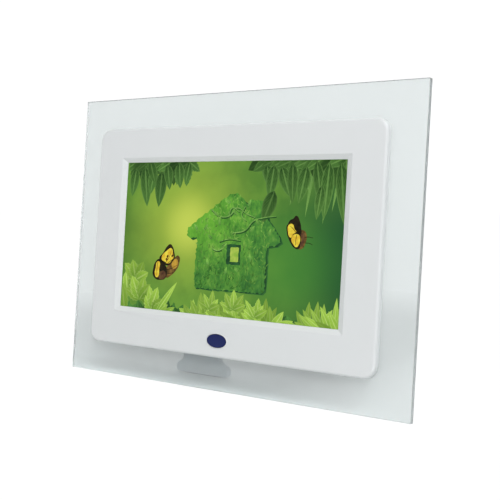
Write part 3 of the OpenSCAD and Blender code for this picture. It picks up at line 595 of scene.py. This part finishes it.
def leafBlank(rows, teeth):
    # one leaf, 1 long from its stalk at the origin and 1 wide, drawn in to a point; teeth is the share
    # by which every second row of its rim draws in further
    clearSelection()
    bpy.ops.mesh.primitive_grid_add(x_subdivisions=4, y_subdivisions=rows, size=1, location=(0, 0.5, 0))
    leaf = bpy.context.object
    leaf.data.uv_layers[0].name = "leaf"
    applyPlace(leaf)
    bpy.ops.object.mode_set(mode="EDIT")
    bpy.ops.mesh.select_all(action="DESELECT")
    bpy.ops.object.mode_set(mode="OBJECT")
    for row in range(rows + 1):
        for vertex in leaf.data.vertices:
            vertex.select = abs(vertex.co.y - row / rows) < 0.01
        bpy.ops.object.mode_set(mode="EDIT")
        t = row / rows
        swell = max(0.02, math.sin(math.pi * t ** 0.75) ** 0.8) if 0 < t < 1 else 0.02
        bpy.ops.transform.resize(value=(swell * (1 - teeth * (row % 2)), 1, 1))
        bpy.ops.mesh.select_all(action="DESELECT")
        bpy.ops.object.mode_set(mode="OBJECT")
    shade = leaf.data.attributes.new("shade", "FLOAT", "POINT")
    shade.data.foreach_set("value", [0.0] * len(leaf.data.vertices))
    return leaf


smoothLeaf = leafBlank(8, 0.0)
toothedLeaf = leafBlank(12, 0.2)


def leafAt(across, up, turn, length, width, dim, pattern=smoothLeaf):
    # a copy of a leaf, in millimetres, turned in degrees from upright and darkened by dim
    pick(pattern)
    bpy.ops.object.duplicate()
    leaf = bpy.context.object
    leaf.scale = (width * mm, length * mm, 1)
    leaf.rotation_euler = (0, 0, math.radians(turn))
    leaf.location = (across * mm, up * mm, 0)
    applyPlace(leaf)
    leaf.data.attributes["shade"].data.foreach_set("value", [dim] * len(leaf.data.vertices))
    return leaf


# how far each leaf of a fan strays: place in millimetres, turn in degrees, length and width as factors
fanStray = {"place": (-1, 1), "turn": (-6, 6), "length": (0.8, 1.1), "width": (0.85, 1.15)}


def fanOfLeaves(across, up, count, spread, length, width, dim, tilt=0, pattern=smoothLeaf):
    leaves = []
    for i in range(count):
        share = i / (count - 1) - 0.5
        leaves.append(leafAt(across + chance.uniform(*fanStray["place"]),
                             up + chance.uniform(*fanStray["place"]),
                             tilt - share * spread + chance.uniform(*fanStray["turn"]),
                             length * chance.uniform(*fanStray["length"]),
                             width * chance.uniform(*fanStray["width"]),
                             chance.uniform(0, dim), pattern))
    return leaves


def rowOfFans(row):
    # fans side by side, each a little longer or shorter where the row is uneven
    leaves = []
    for across in range(row["from"], row["to"], row["step"]):
        stray = chance.uniform(-row["uneven"], row["uneven"]) if "uneven" in row else 0
        leaves += fanOfLeaves(across, row["up"], row["count"], row["spread"], row["length"] + stray,
                              row["width"], row["dim"], row.get("tilt", 0), row.get("leaf", smoothLeaf))
    return leaves


leafStep = 0.0006  # millimetres from one leaf of a bunch to the next


def stackLeaves(leaves, name):
    # spreads the leaves over a thin depth so that none lies in another's plane
    for i, leaf in enumerate(leaves):
        leaf.location.z = i * leafStep * mm
        applyPlace(leaf)
    return joinAll(leaves, name)


def finishBunch(bunch, layer, finishName):
    # a bunch of leaves, cut to the window and laid on the picture
    trimToWindow(bunch)
    ontoPicture(bunch, layer, bunch.name, leafFinish(finishName))


backdropOverlap = 1  # what the backdrop has hidden under the bezel on each side


def makeBackdrop():
    clearSelection()
    bpy.ops.mesh.primitive_plane_add(size=1)
    sheet = bpy.context.object
    sheet.scale = ((picture["width"] + 2 * backdropOverlap) * mm,
                   (picture["height"] + 2 * backdropOverlap) * mm, 1)
    applyPlace(sheet)
    bpy.ops.object.mode_set(mode="EDIT")
    bpy.ops.mesh.subdivide(number_cuts=3)
    bpy.ops.object.mode_set(mode="OBJECT")
    ontoPicture(sheet, layers["backdrop"], "picture-backdrop", backdropFinish())


topBranches = {
    "leftRow": {"from": -78, "to": -24, "step": 6, "up": 44, "count": 3, "spread": 120, "length": 13,
                "width": 7, "dim": 0.9, "tilt": 180, "leaf": toothedLeaf},
    "rightRow": {"from": 26, "to": 80, "step": 5, "up": 45, "count": 3, "spread": 130, "length": 15,
                 "width": 7, "dim": 0.85, "tilt": 180},
    # where each hanging leaf starts, across and up, its turn, length and width
    "left": ((-71, 40, 172, 17, 7.5), (-64, 41, 188, 24, 9), (-56, 40, 170, 16, 7.5), (-50, 38, 176, 21, 9),
             (-46, 42, 190, 15, 7), (-60, 44, 200, 14, 7), (-37, 43, 186, 15, 7), (-29, 43, 168, 13, 6)),
    "right": ((26, 41, 194, 13, 7), (31, 41, 172, 19, 8), (32, 27, 158, 19, 9), (36, 40, 200, 17, 8),
              (43, 42, 182, 22, 7), (52, 40, 168, 20, 8), (58, 43, 190, 26, 7), (66, 42, 176, 30, 8),
              (73, 42, 186, 32, 8), (62, 30, 172, 18, 6)),
    # each blade's place across, its turn and length
    "blades": ((40, 176, 20), (47, 170, 27), (52, 186, 22), (57, 172, 33), (61, 188, 30), (66, 176, 36),
               (70, 198, 34), (74, 170, 30), (77, 190, 38), (64, 208, 28)),
    "bladesUp": 46, "bladeWidth": 2.0,
}


def makeTopLeaves():
    leaves = rowOfFans(topBranches["leftRow"])
    for place in topBranches["left"]:
        leaves.append(leafAt(*place, chance.uniform(0.1, 0.5)))
    leaves += rowOfFans(topBranches["rightRow"])
    for place in topBranches["right"]:
        leaves.append(leafAt(*place, chance.uniform(0.1, 0.55)))
    finishBunch(stackLeaves(leaves, "picture-top-leaves"), layers["topLeaves"], "picture-dark-leaf")
    blades = []
    for across, turn, length in topBranches["blades"]:
        blades.append(leafAt(across, topBranches["bladesUp"], turn, length, topBranches["bladeWidth"],
                             chance.uniform(0, 0.3)))
    finishBunch(stackLeaves(blades, "picture-top-blades"), layers["topBlades"], "picture-blade")


def roughLine(corners, step, jitter):
    # walks round the corners and shakes each step, for a shaggy outline
    points = []
    for (x0, y0), (x1, y1) in zip(corners, corners[1:] + corners[:1]):
        count = max(1, round(math.hypot(x1 - x0, y1 - y0) / step))
        for i in range(count):
            t = i / count
            points.append((x0 + (x1 - x0) * t + chance.uniform(-jitter, jitter),
                           y0 + (y1 - y0) * t + chance.uniform(-jitter, jitter)))
    return points


# the leafy house, its places counted from its own middle
house = {
    "right": 4.8, "up": -0.6,
    "outline": [(-25, -28), (22, -28), (24, -26), (24, -3), (30, -2), (33, 0), (32, 3), (24, 12), (22, 17),
                (21, 22), (12, 23), (10, 20), (2, 26), (-2, 26), (-24, 12), (-32, 6), (-33, 2), (-30, 0),
                (-25, 1), (-26, -22)],
    "windowFrame": [(-3, -13.4), (6.4, -13.4), (6.6, -2), (-3.4, -2.2)],
    "windowPane": [(-0.6, -11.8), (5.2, -11.8), (5.2, -3.8), (-0.6, -3.8)],
    "blades": 320, "bladeLength": 2.6, "bladeWidth": 0.55, "bladesLeft": -32, "bladesRight": 32,
    # where blades may grow: on the wall and under the roof, clear of the window
    "wallHalf": 24, "groundUp": -28, "eavesUp": 3, "ridgeUp": 26, "roofSlope": 0.72,
    "windowMiddle": 2, "windowHalf": 6, "windowLow": -15, "windowHigh": 0,
}
houseShades = (
    # piece, layer, how far it stands out, dark and light tone
    ("picture-house-shade16", layers["houseShade"], 1.6, "#2c5e30", "#3a7036"),
    ("picture-house-shade8", layers["houseEdge"], 0.8, "#1d4424", "#265a2c"),
)


def ontoHouse(points):
    return [(x + house["right"], y + house["up"]) for x, y in points]


def onHouseWall(x, y):
    inWindow = (abs(x - house["windowMiddle"]) < house["windowHalf"]
                and house["windowLow"] < y < house["windowHigh"])
    if y > house["eavesUp"]:
        return y < house["ridgeUp"] - abs(x) * house["roofSlope"] and not inWindow
    return abs(x) < house["wallHalf"] and not inWindow


def makeHouse():
    outline = ontoHouse(house["outline"])
    for name, layer, grow, dark, light in houseShades:
        shade = flatShape(roughLine([(x + grow, y - grow * 0.5) for x, y in outline], 2.2, 0.3))
        ontoPicture(shade, layer, name, plainLit(name, dark, light, 200))
    wall = flatShape(roughLine(outline, 1.1, 0.5))
    ontoPicture(wall, layers["house"], "picture-house", grassFinish())
    blades = []
    while len(blades) < house["blades"]:
        x = chance.uniform(house["bladesLeft"], house["bladesRight"])
        y = chance.uniform(house["groundUp"], house["ridgeUp"])
        if onHouseWall(x, y):
            (across, up), = ontoHouse([(x, y)])
            turn = chance.uniform(-75, 75)
            length = house["bladeLength"] * chance.uniform(0.6, 1.3)
            dim = min(1, max(0, 0.35 - y / 60 + chance.uniform(-0.3, 0.5)))  # darker towards the ground
            blades.append(leafAt(across, up, turn, length, house["bladeWidth"], dim))
    bunch = stackLeaves(blades, "picture-house-blades")
    ontoPicture(bunch, layers["houseBlades"], bunch.name, leafFinish("picture-house-blade"))
    surround = flatShape(roughLine(ontoHouse(house["windowFrame"]), 1.2, 0.35))
    ontoPicture(surround, layers["windowFrame"], "picture-house-window-frame",
                plainLit("picture-window-frame", "#1d4426", "#2f6335", 400))
    pane = flatShape(roughLine(ontoHouse(house["windowPane"]), 1.2, 0.2))
    ontoPicture(pane, layers["windowPane"], "picture-house-window",
                plainLit("picture-window-light", "#86b53c", "#b4cc58", 300))


def vineAlong(points, thickness):
    # a flat twig through the points, thinner towards its far end
    clearSelection()
    bpy.ops.curve.primitive_bezier_curve_add()
    curve = bpy.context.object
    spline = curve.data.splines[0]
    spline.bezier_points.add(len(points) - 2)
    for i, (knot, (across, up)) in enumerate(zip(spline.bezier_points, points)):
        knot.co = (across * mm, up * mm, 0)
        knot.handle_left_type = knot.handle_right_type = "AUTO"
        knot.radius = 1 - 0.5 * i / len(points)
    curve.data.resolution_u = 6
    curve.data.extrude = 0
    curve.data.bevel_depth = thickness / 2 * mm
    curve.data.bevel_resolution = 1
    bpy.ops.object.convert(target="MESH")
    vine = bpy.context.object
    vine.scale.z = 0.02
    applyPlace(vine)
    return vine


vines = {
    # each twig's points on the house and its thickness
    "twigs": (([(-16, 17), (-9, 13), (-2, 14), (2, 18), (9, 15), (15, 13)], 0.6),
              ([(0, 4), (9, 6), (14, 11), (21, 13), (29, 14)], 0.55),
              ([(-9, -1), (-2, 0.6), (6, 0)], 0.4), ([(-3, 13), (-1, 18), (4, 16)], 0.45),
              ([(8, 19), (6, 14), (9, 11)], 0.4), ([(-14, -5), (-9, -6), (-5, -3)], 0.5)),
    # each sprig's place on the house and its turn
    "sprigs": ((-9, 8, 10), (-14, 0, 50), (-7, -4, -60), (2, 14, 30), (12, 5, -40), (-16, -15, 15),
               (-4, -19, -20), (6, -17, 60), (14, -11, 20), (-20, 5, -30), (-2, 21, 80), (18, 9, 35),
               (10, 19, -25), (-25, 5, 40), (25, 3, -15)),
    "sprigLength": 4.4, "sprigWidth": 2.0,
}
vineCoats = (
    # piece, layer, shift down and right, thickening, dark and light tone
    ("picture-vine-shade", layers["vineShade"], 0.5, 1.9, "#1f4a20", "#2f6228"),
    ("picture-vine", layers["vine"], 0, 1.2, "#5f9640", "#8fbc64"),
)


def makeVines():
    for name, layer, shift, thicker, dark, light in vineCoats:
        twigs = [vineAlong([(x + shift, y - shift) for x, y in ontoHouse(points)], width * thicker)
                 for points, width in vines["twigs"]]
        ontoPicture(joinAll(twigs, name), layer, name, plainLit(name, dark, light, 300))
    sprigs = []
    for x, y, turn in vines["sprigs"]:
        (across, up), = ontoHouse([(x, y)])
        sprigs.append(leafAt(across, up, turn, vines["sprigLength"], vines["sprigWidth"],
                             chance.uniform(0, 0.4)))
    bunch = stackLeaves(sprigs, "picture-sprigs")
    ontoPicture(bunch, layers["sprigs"], bunch.name, leafFinish("picture-sprig"))


groundLeaves = {
    "backRow": {"from": -76, "to": 80, "step": 6, "up": -47, "count": 3, "spread": 80, "length": 9,
                "width": 3.6, "dim": 0.9},
    "middleRow": {"from": -20, "to": 36, "step": 5, "up": -48, "count": 5, "spread": 130, "length": 15,
                  "uneven": 3, "width": 5.4, "dim": 0.75},
    "rightRow": {"from": 58, "to": 82, "step": 5, "up": -48, "count": 5, "spread": 120, "length": 18,
                 "uneven": 3, "width": 4.6, "dim": 0.7},
    # toothed fans: across, up, count, spread, length, width, dim and tilt
    "corner": ((-72, -34, 5, 150, 14, 8, 0.7, 10), (-66, -26, 4, 120, 13, 9, 0.7, -5),
               (-62, -38, 5, 150, 15, 9, 0.7, -10), (-52, -44, 5, 110, 13, 8, 0.7, -15)),
    "front": ((-8, -40, 5, 130, 10, 5, 0.5, 0), (8, -39, 5, 130, 11, 5, 0.5, 0),
              (24, -42, 5, 130, 11, 5, 0.5, 0)),
    # single leaves: across, up, turn, length, width, dim and kind
    "single": ((-49, -46, -38, 25, 4.2, 0.0, smoothLeaf), (-74, -46, 12, 18, 8, 0.5, toothedLeaf),
               (-44, -46, -62, 11, 4, 0.4, smoothLeaf)),
}


def makeGroundLeaves():
    back = stackLeaves(rowOfFans(groundLeaves["backRow"]), "picture-ground-back")
    finishBunch(back, layers["groundBack"], "picture-ground-back-leaf")
    leaves = []
    for fan in groundLeaves["corner"]:
        leaves += fanOfLeaves(*fan, toothedLeaf)
    for place in groundLeaves["single"]:
        leaves.append(leafAt(*place))
    leaves += rowOfFans(groundLeaves["middleRow"])
    for fan in groundLeaves["front"]:
        leaves += fanOfLeaves(*fan, toothedLeaf)
    leaves += rowOfFans(groundLeaves["rightRow"])
    finishBunch(stackLeaves(leaves, "picture-ground-leaves"), layers["groundLeaves"], "picture-ground-leaf")


perched = {
    # wings raised, seen from the side, in millimetres about the body's middle
    "middle": (-43.3, -15.5),
    "far": [[(6.5, 3), (10, 4.5), (10.5, -0.5), (8, -4.5), (5, -7), (1, -8.5), (0, -4), (2.5, -1)]],
    "farField": [[(5, 0), (8.5, 2.5), (9.5, 0), (7.5, -3), (5.5, -2.5)]],
    "dark": [[(-5, 2), (-2, 6), (0.5, 9.5), (3, 11), (5, 9.5), (6.5, 6), (7, 3.5), (5.5, 1), (2, -1.5),
              (-1.5, -0.5)],
             [(-5, 2), (-8, 0), (-9.5, -4.5), (-9.5, -7.5), (-7, -9.8), (-4, -10.3), (0.5, -9), (1.5, -5),
              (-1, 0)]],
    "brown": [[(-4, -5.6), (0, -5.2), (0.6, -8.4), (-3.6, -9.8), (-5, -8)]],
    "yellow": [[(-3.2, 2.2), (1, 7.4), (4, 8.6), (5.6, 5), (6, 3.4), (4.6, 1.4), (2, -0.4), (-0.6, 0.6)],
               [(-6.8, 0), (-4.8, 0.4), (-4.6, -4), (-5.2, -8.4), (-6.6, -8.8), (-8, -6.5), (-7.4, -3)]],
    "spots": [[(1, 3), (2, 3.4), (2, 4.6), (1, 4.4)], [(0.2, 1.4), (1.4, 1.6), (1.2, 2.8), (0.2, 2.6)],
              [(4.6, 3.6), (5.6, 4), (5.4, 5), (4.6, 4.8)]],
    "lines": [[(0, 0), (2, 2.4), (3.6, 5.4), (4, 8)], [(-6, 0), (-6.4, -4), (-6.2, -8)],
              [(1, -1), (5, 2), (9, 4)], [(1, -4), (5, -3), (9, -1)], [(0.5, -6), (4, -6), (7, -5)]],
}

gliding = {
    # wings half open, its feelers to the right
    "middle": (48.5, 5),
    "far": [[(-0.4, 0), (3.8, 1.4), (5.6, -0.8), (5, -6), (3.4, -8.2), (0.8, -8.4), (0.6, -4)]],
    "farField": [],
    "dark": [[(-1.4, 9), (1, 6), (2, 2.6), (2, -0.6), (-0.2, -0.6), (-3, 1), (-6.4, 4), (-5.4, 6.4),
              (-3.4, 7.4)],
             [(-6.6, 4.4), (-7, 0), (-5.8, -3), (-4.2, -5.6), (-1.4, -8.2), (1.2, -8.4), (2.4, -4), (0, 2)]],
    "brown": [[(2.4, -0.6), (4, 0), (4.4, -4), (3.2, -7), (2, -7), (2.8, -4)]],
    "yellow": [[(-6, 4), (-3.4, 4.4), (-2.2, 2), (-1, 0.4), (-3, -0.8), (-3.8, -2.6), (-5, -2.4), (-6.2, 0)],
               [(-2.4, -1), (1.2, -1.4), (1.8, -3.4), (1.2, -6), (-0.4, -7.6), (-2.4, -6.2), (-3.8, -4),
                (-3.4, -2.2)]],
    "spots": [],
    "lines": [[(-0.6, -0.4), (-3, 2), (-5, 3.4)], [(-0.4, -1), (-1, -4), (-0.8, -6.6)],
              [(4.6, -2.2), (7, -2), (9.8, -2.4)], [(5, -5.2), (7.4, -5.2), (9.8, -6)]],
}


wingParts = (
    # part, layer, dark and light tone
    ("far", 9, "#4e3a1c", "#8a6a34"),
    ("farField", 9.3, "#a8802c", "#d0a640"),
    ("dark", 9.6, "#17140a", "#2c2412"),
    ("brown", 10, "#4a2c22", "#6e5232"),
    ("yellow", 10.4, "#dcae2e", "#f2e24c"),
    ("spots", 10.8, "#3a2208", "#6a4410"),
)
wingLines = {"thickness": 0.36, "dark": "#171208", "light": "#2a2010"}


def makeButterfly(index, look):
    def placed(points):
        return [(look["middle"][0] + x, look["middle"][1] + y) for x, y in points]

    butterfly = "picture-butterfly" + str(index)
    for part, layer, dark, light in wingParts:
        shapes = [flatShape(placed(points), smooth=True) for points in look[part]]
        if shapes:
            name = butterfly + "-" + part
            ontoPicture(joinAll(shapes, name), layer, name, plainLit(name, dark, light, 400))
    name = butterfly + "-lines"
    lines = [vineAlong(placed(points), wingLines["thickness"]) for points in look["lines"]]
    ontoPicture(joinAll(lines, name), layers["butterflyLines"], name,
                plainLit(name, wingLines["dark"], wingLines["light"], 500))


makeBackdrop()
makeTopLeaves()
makeHouse()
makeVines()
makeGroundLeaves()
makeButterfly(1, perched)
makeButterfly(2, gliding)
for pattern in (smoothLeaf, toothedLeaf):
    bpy.data.objects.remove(pattern)  # the two leaves that the others were copied from
print("picture drawn")

# ink on the back: signs on the keys, rules and bars on the label

ink = {"colour": "#3d4248", "roughness": 0.5, "drift": 0.05, "grainScale": 700, "grainDepth": 0.004,
       "wear": 0.0}
inkFinish = mouldedFinish("ink", ink)
keySigns = {
    # key: where its sign sits and the sign's outlines
    "up": ((14, 36), [[(0, 1.3), (-1.4, -0.9), (0, -0.9), (1.4, -0.9)]]),
    "down": ((14, 18), [[(0, -1.3), (1.4, 0.9), (0, 0.9), (-1.4, 0.9)]]),
    "left": ((5, 27), [[(1.3, 0), (-0.9, 1.4), (-0.9, 0), (-0.9, -1.4)]]),
    "right": ((23, 27), [[(-1.3, 0), (0.9, -1.4), (0.9, 0), (0.9, 1.4)]]),
    "enter": ((14, 27), [[(-1.1, -1.1), (1.1, -1.1), (1.1, 1.1), (-1.1, 1.1)]]),
    "menu": ((37, 34), [[(-1.5, y), (1.5, y), (1.5, y + 0.4), (-1.5, y + 0.4)] for y in (-1.2, -0.2, 0.8)]),
    "exit": ((37, 20), [[(-1.6, 0), (-0.2, 1.3), (-0.2, 0), (-0.2, -1.3)],
                        [(-0.3, -0.25), (1.6, -0.25), (1.6, 0.25), (-0.3, 0.25)]]),
}
labelPrint = {
    "middle": (34, -30), "left": -20,
    # each rule's height on the label, its length and thickness
    "rules": ((8.2, 40, 1.6), (4.6, 26, 0.7), (2.2, 30, 0.7), (-0.2, 22, 0.7), (-2.6, 27, 0.7),
              (-5.0, 18, 0.7), (-7.4, 24, 0.7)),
    "bars": 14, "barLeft": 9.0, "barPitch": 0.95, "barWidths": (0.25, 0.5), "barLow": -8, "barHigh": -1.5,
}
backFaces = {"keys": 24.0, "label": 23.15, "proud": 0.03}  # depths of the surfaces that carry ink


def bar(left, low, right, high):
    return flatShape([(left, low), (right, low), (right, high), (left, high)])


def ontoBack(shapes, middle, depth, name, body):
    # turns flat ink round to face backwards, just proud of its surface
    piece = joinAll(shapes, name)
    pick(piece)
    piece.rotation_euler = (math.radians(-90), math.radians(180), 0)
    piece.location = (middle[0] * mm, (depth + backFaces["proud"]) * mm, middle[1] * mm)
    applyPlace(piece)
    leanBack(piece)
    piece.name = piece.data.name = name
    dress(piece, inkFinish)
    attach(piece, body)


def printLabel():
    shapes = []
    for up, length, thick in labelPrint["rules"]:
        shapes.append(bar(labelPrint["left"], up, labelPrint["left"] + length, up + thick))
    for i in range(labelPrint["bars"]):
        left = labelPrint["barLeft"] + i * labelPrint["barPitch"]
        right = left + chance.choice(labelPrint["barWidths"])
        shapes.append(bar(left, labelPrint["barLow"], right, labelPrint["barHigh"]))
    ontoBack(shapes, labelPrint["middle"], backFaces["label"], "label-print", "housing")


for key, (middle, outlines) in keySigns.items():
    signs = [flatShape(points) for points in outlines]
    ontoBack(signs, middle, backFaces["keys"], key + "-sign", key + "_key")
printLabel()
print("ink laid")

# floor, light and camera

# besidePaintedLight is the share of painted light on the floor right of the object, as seen through the
# clear panel
stage = {"floorSize": 6.0, "floorDrop": 0.0002, "floorColour": "#f2f3f3", "worldLight": 0.42,
         "worldSeen": 1.05, "floorSeenDirect": 0.93, "floorSeenThrough": 0.05, "floorNear": 0.3,
         "floorFar": 0.5, "shadeEdge": 0.01, "shadeEnd": 0.09, "besidePaintedLight": 0.65}
lamps = {
    # places and sizes in metres, power in watts
    "key": {"place": (1.15, -1.35, 1.75), "size": 1.05, "power": 36.0},
    "back": {"place": (-0.7, 0.9, 1.1), "size": 0.9, "power": 3.0},
}
lampsAim = (0, 0, 0.08)


def makeFloor():
    # evenly white where it is seen directly and far off; where the clear panel shows it near the object it
    # keeps its rendered shade, except to the right, where it glows as painted light standing in for floor
    # lit beyond the cast shadow
    clearSelection()
    bpy.ops.mesh.primitive_plane_add(size=stage["floorSize"], location=(0, 0, -stage["floorDrop"]))
    floor = bpy.context.object
    floor.name = "floor"
    paint = Paint("floor", tone(stage["floorColour"]), 0.9)
    seen = paint.add("ShaderNodeEmission", {"Color": (1, 1, 1, 1), "Strength": stage["worldSeen"]})
    path = paint.add("ShaderNodeLightPath").outputs
    direct = paint.calc("MULTIPLY", path["Is Camera Ray"], stage["floorSeenDirect"])
    reach = paint.add("ShaderNodeVectorMath", {0: paint.place}, operation="LENGTH").outputs["Value"]
    beyond = paint.span(reach, stage["floorNear"], stage["floorFar"], stage["floorSeenThrough"], 1.0)
    across = paint.add("ShaderNodeSeparateXYZ", {0: paint.place}).outputs[0]
    # painted light: right of the object the floor glows white through the panel, where the cast shadow would
    # end
    paintedLightRight = paint.span(across, stage["shadeEdge"], stage["shadeEnd"], 0.0, stage["besidePaintedLight"])
    through = paint.calc("MAXIMUM", beyond, paintedLightRight)
    paint.showOther(paint.calc("MULTIPLY_ADD", path["Is Transmission Ray"], through, direct), seen)
    dress(floor, paint.material)


def makeWorld():
    world = bpy.data.worlds.new("studio")
    bpy.context.scene.world = world
    world.use_nodes = True
    nodes, links = world.node_tree.nodes, world.node_tree.links
    lit = nodes["Background"]
    lit.inputs["Color"].default_value = (1, 1, 1, 1)
    lit.inputs["Strength"].default_value = stage["worldLight"]
    seen = nodes.new("ShaderNodeBackground")
    seen.inputs["Color"].default_value = (1, 1, 1, 1)
    seen.inputs["Strength"].default_value = stage["worldSeen"]
    path = nodes.new("ShaderNodeLightPath")
    either = nodes.new("ShaderNodeMath")
    either.operation = "MAXIMUM"
    mix = nodes.new("ShaderNodeMixShader")
    links.new(path.outputs["Is Camera Ray"], either.inputs[0])
    links.new(path.outputs["Is Transmission Ray"], either.inputs[1])
    links.new(either.outputs[0], mix.inputs[0])
    links.new(lit.outputs[0], mix.inputs[1])
    links.new(seen.outputs[0], mix.inputs[2])
    links.new(mix.outputs[0], nodes["World Output"].inputs["Surface"])


def makeLamp(name, look):
    lamp = bpy.data.lights.new(name, "AREA")
    lamp.shape, lamp.size, lamp.energy = "DISK", look["size"], look["power"]
    holder = bpy.data.objects.new(name, lamp)
    bpy.context.scene.collection.objects.link(holder)
    holder.location = look["place"]
    towards = Vector(lampsAim) - Vector(look["place"])
    holder.rotation_euler = towards.to_track_quat("-Z", "Y").to_euler()


cameraPlace = {"aim": (9.3, 0, 78.9), "azimuth": 37.01, "elevation": 4.16, "distance": 530.8,
               "lens": 68.2, "sensor": 36}


def makeCamera():
    a, e = math.radians(cameraPlace["azimuth"]), math.radians(cameraPlace["elevation"])
    away = Vector((math.sin(a) * math.cos(e), -math.cos(a) * math.cos(e), math.sin(e)))
    data = bpy.data.cameras.new("camera")
    data.lens, data.sensor_width = cameraPlace["lens"], cameraPlace["sensor"]
    data.clip_start, data.clip_end = 0.02, 50
    camera = bpy.data.objects.new("camera", data)
    bpy.context.scene.collection.objects.link(camera)
    camera.location = Vector(cameraPlace["aim"]) * mm + away * cameraPlace["distance"] * mm
    camera.rotation_euler = (-away).to_track_quat("-Z", "Y").to_euler()
    bpy.context.scene.camera = camera


makeFloor()
makeWorld()
for name, look in lamps.items():
    makeLamp(name, look)
makeCamera()
bpy.context.scene.view_settings.view_transform = "Standard"
print("stage set")
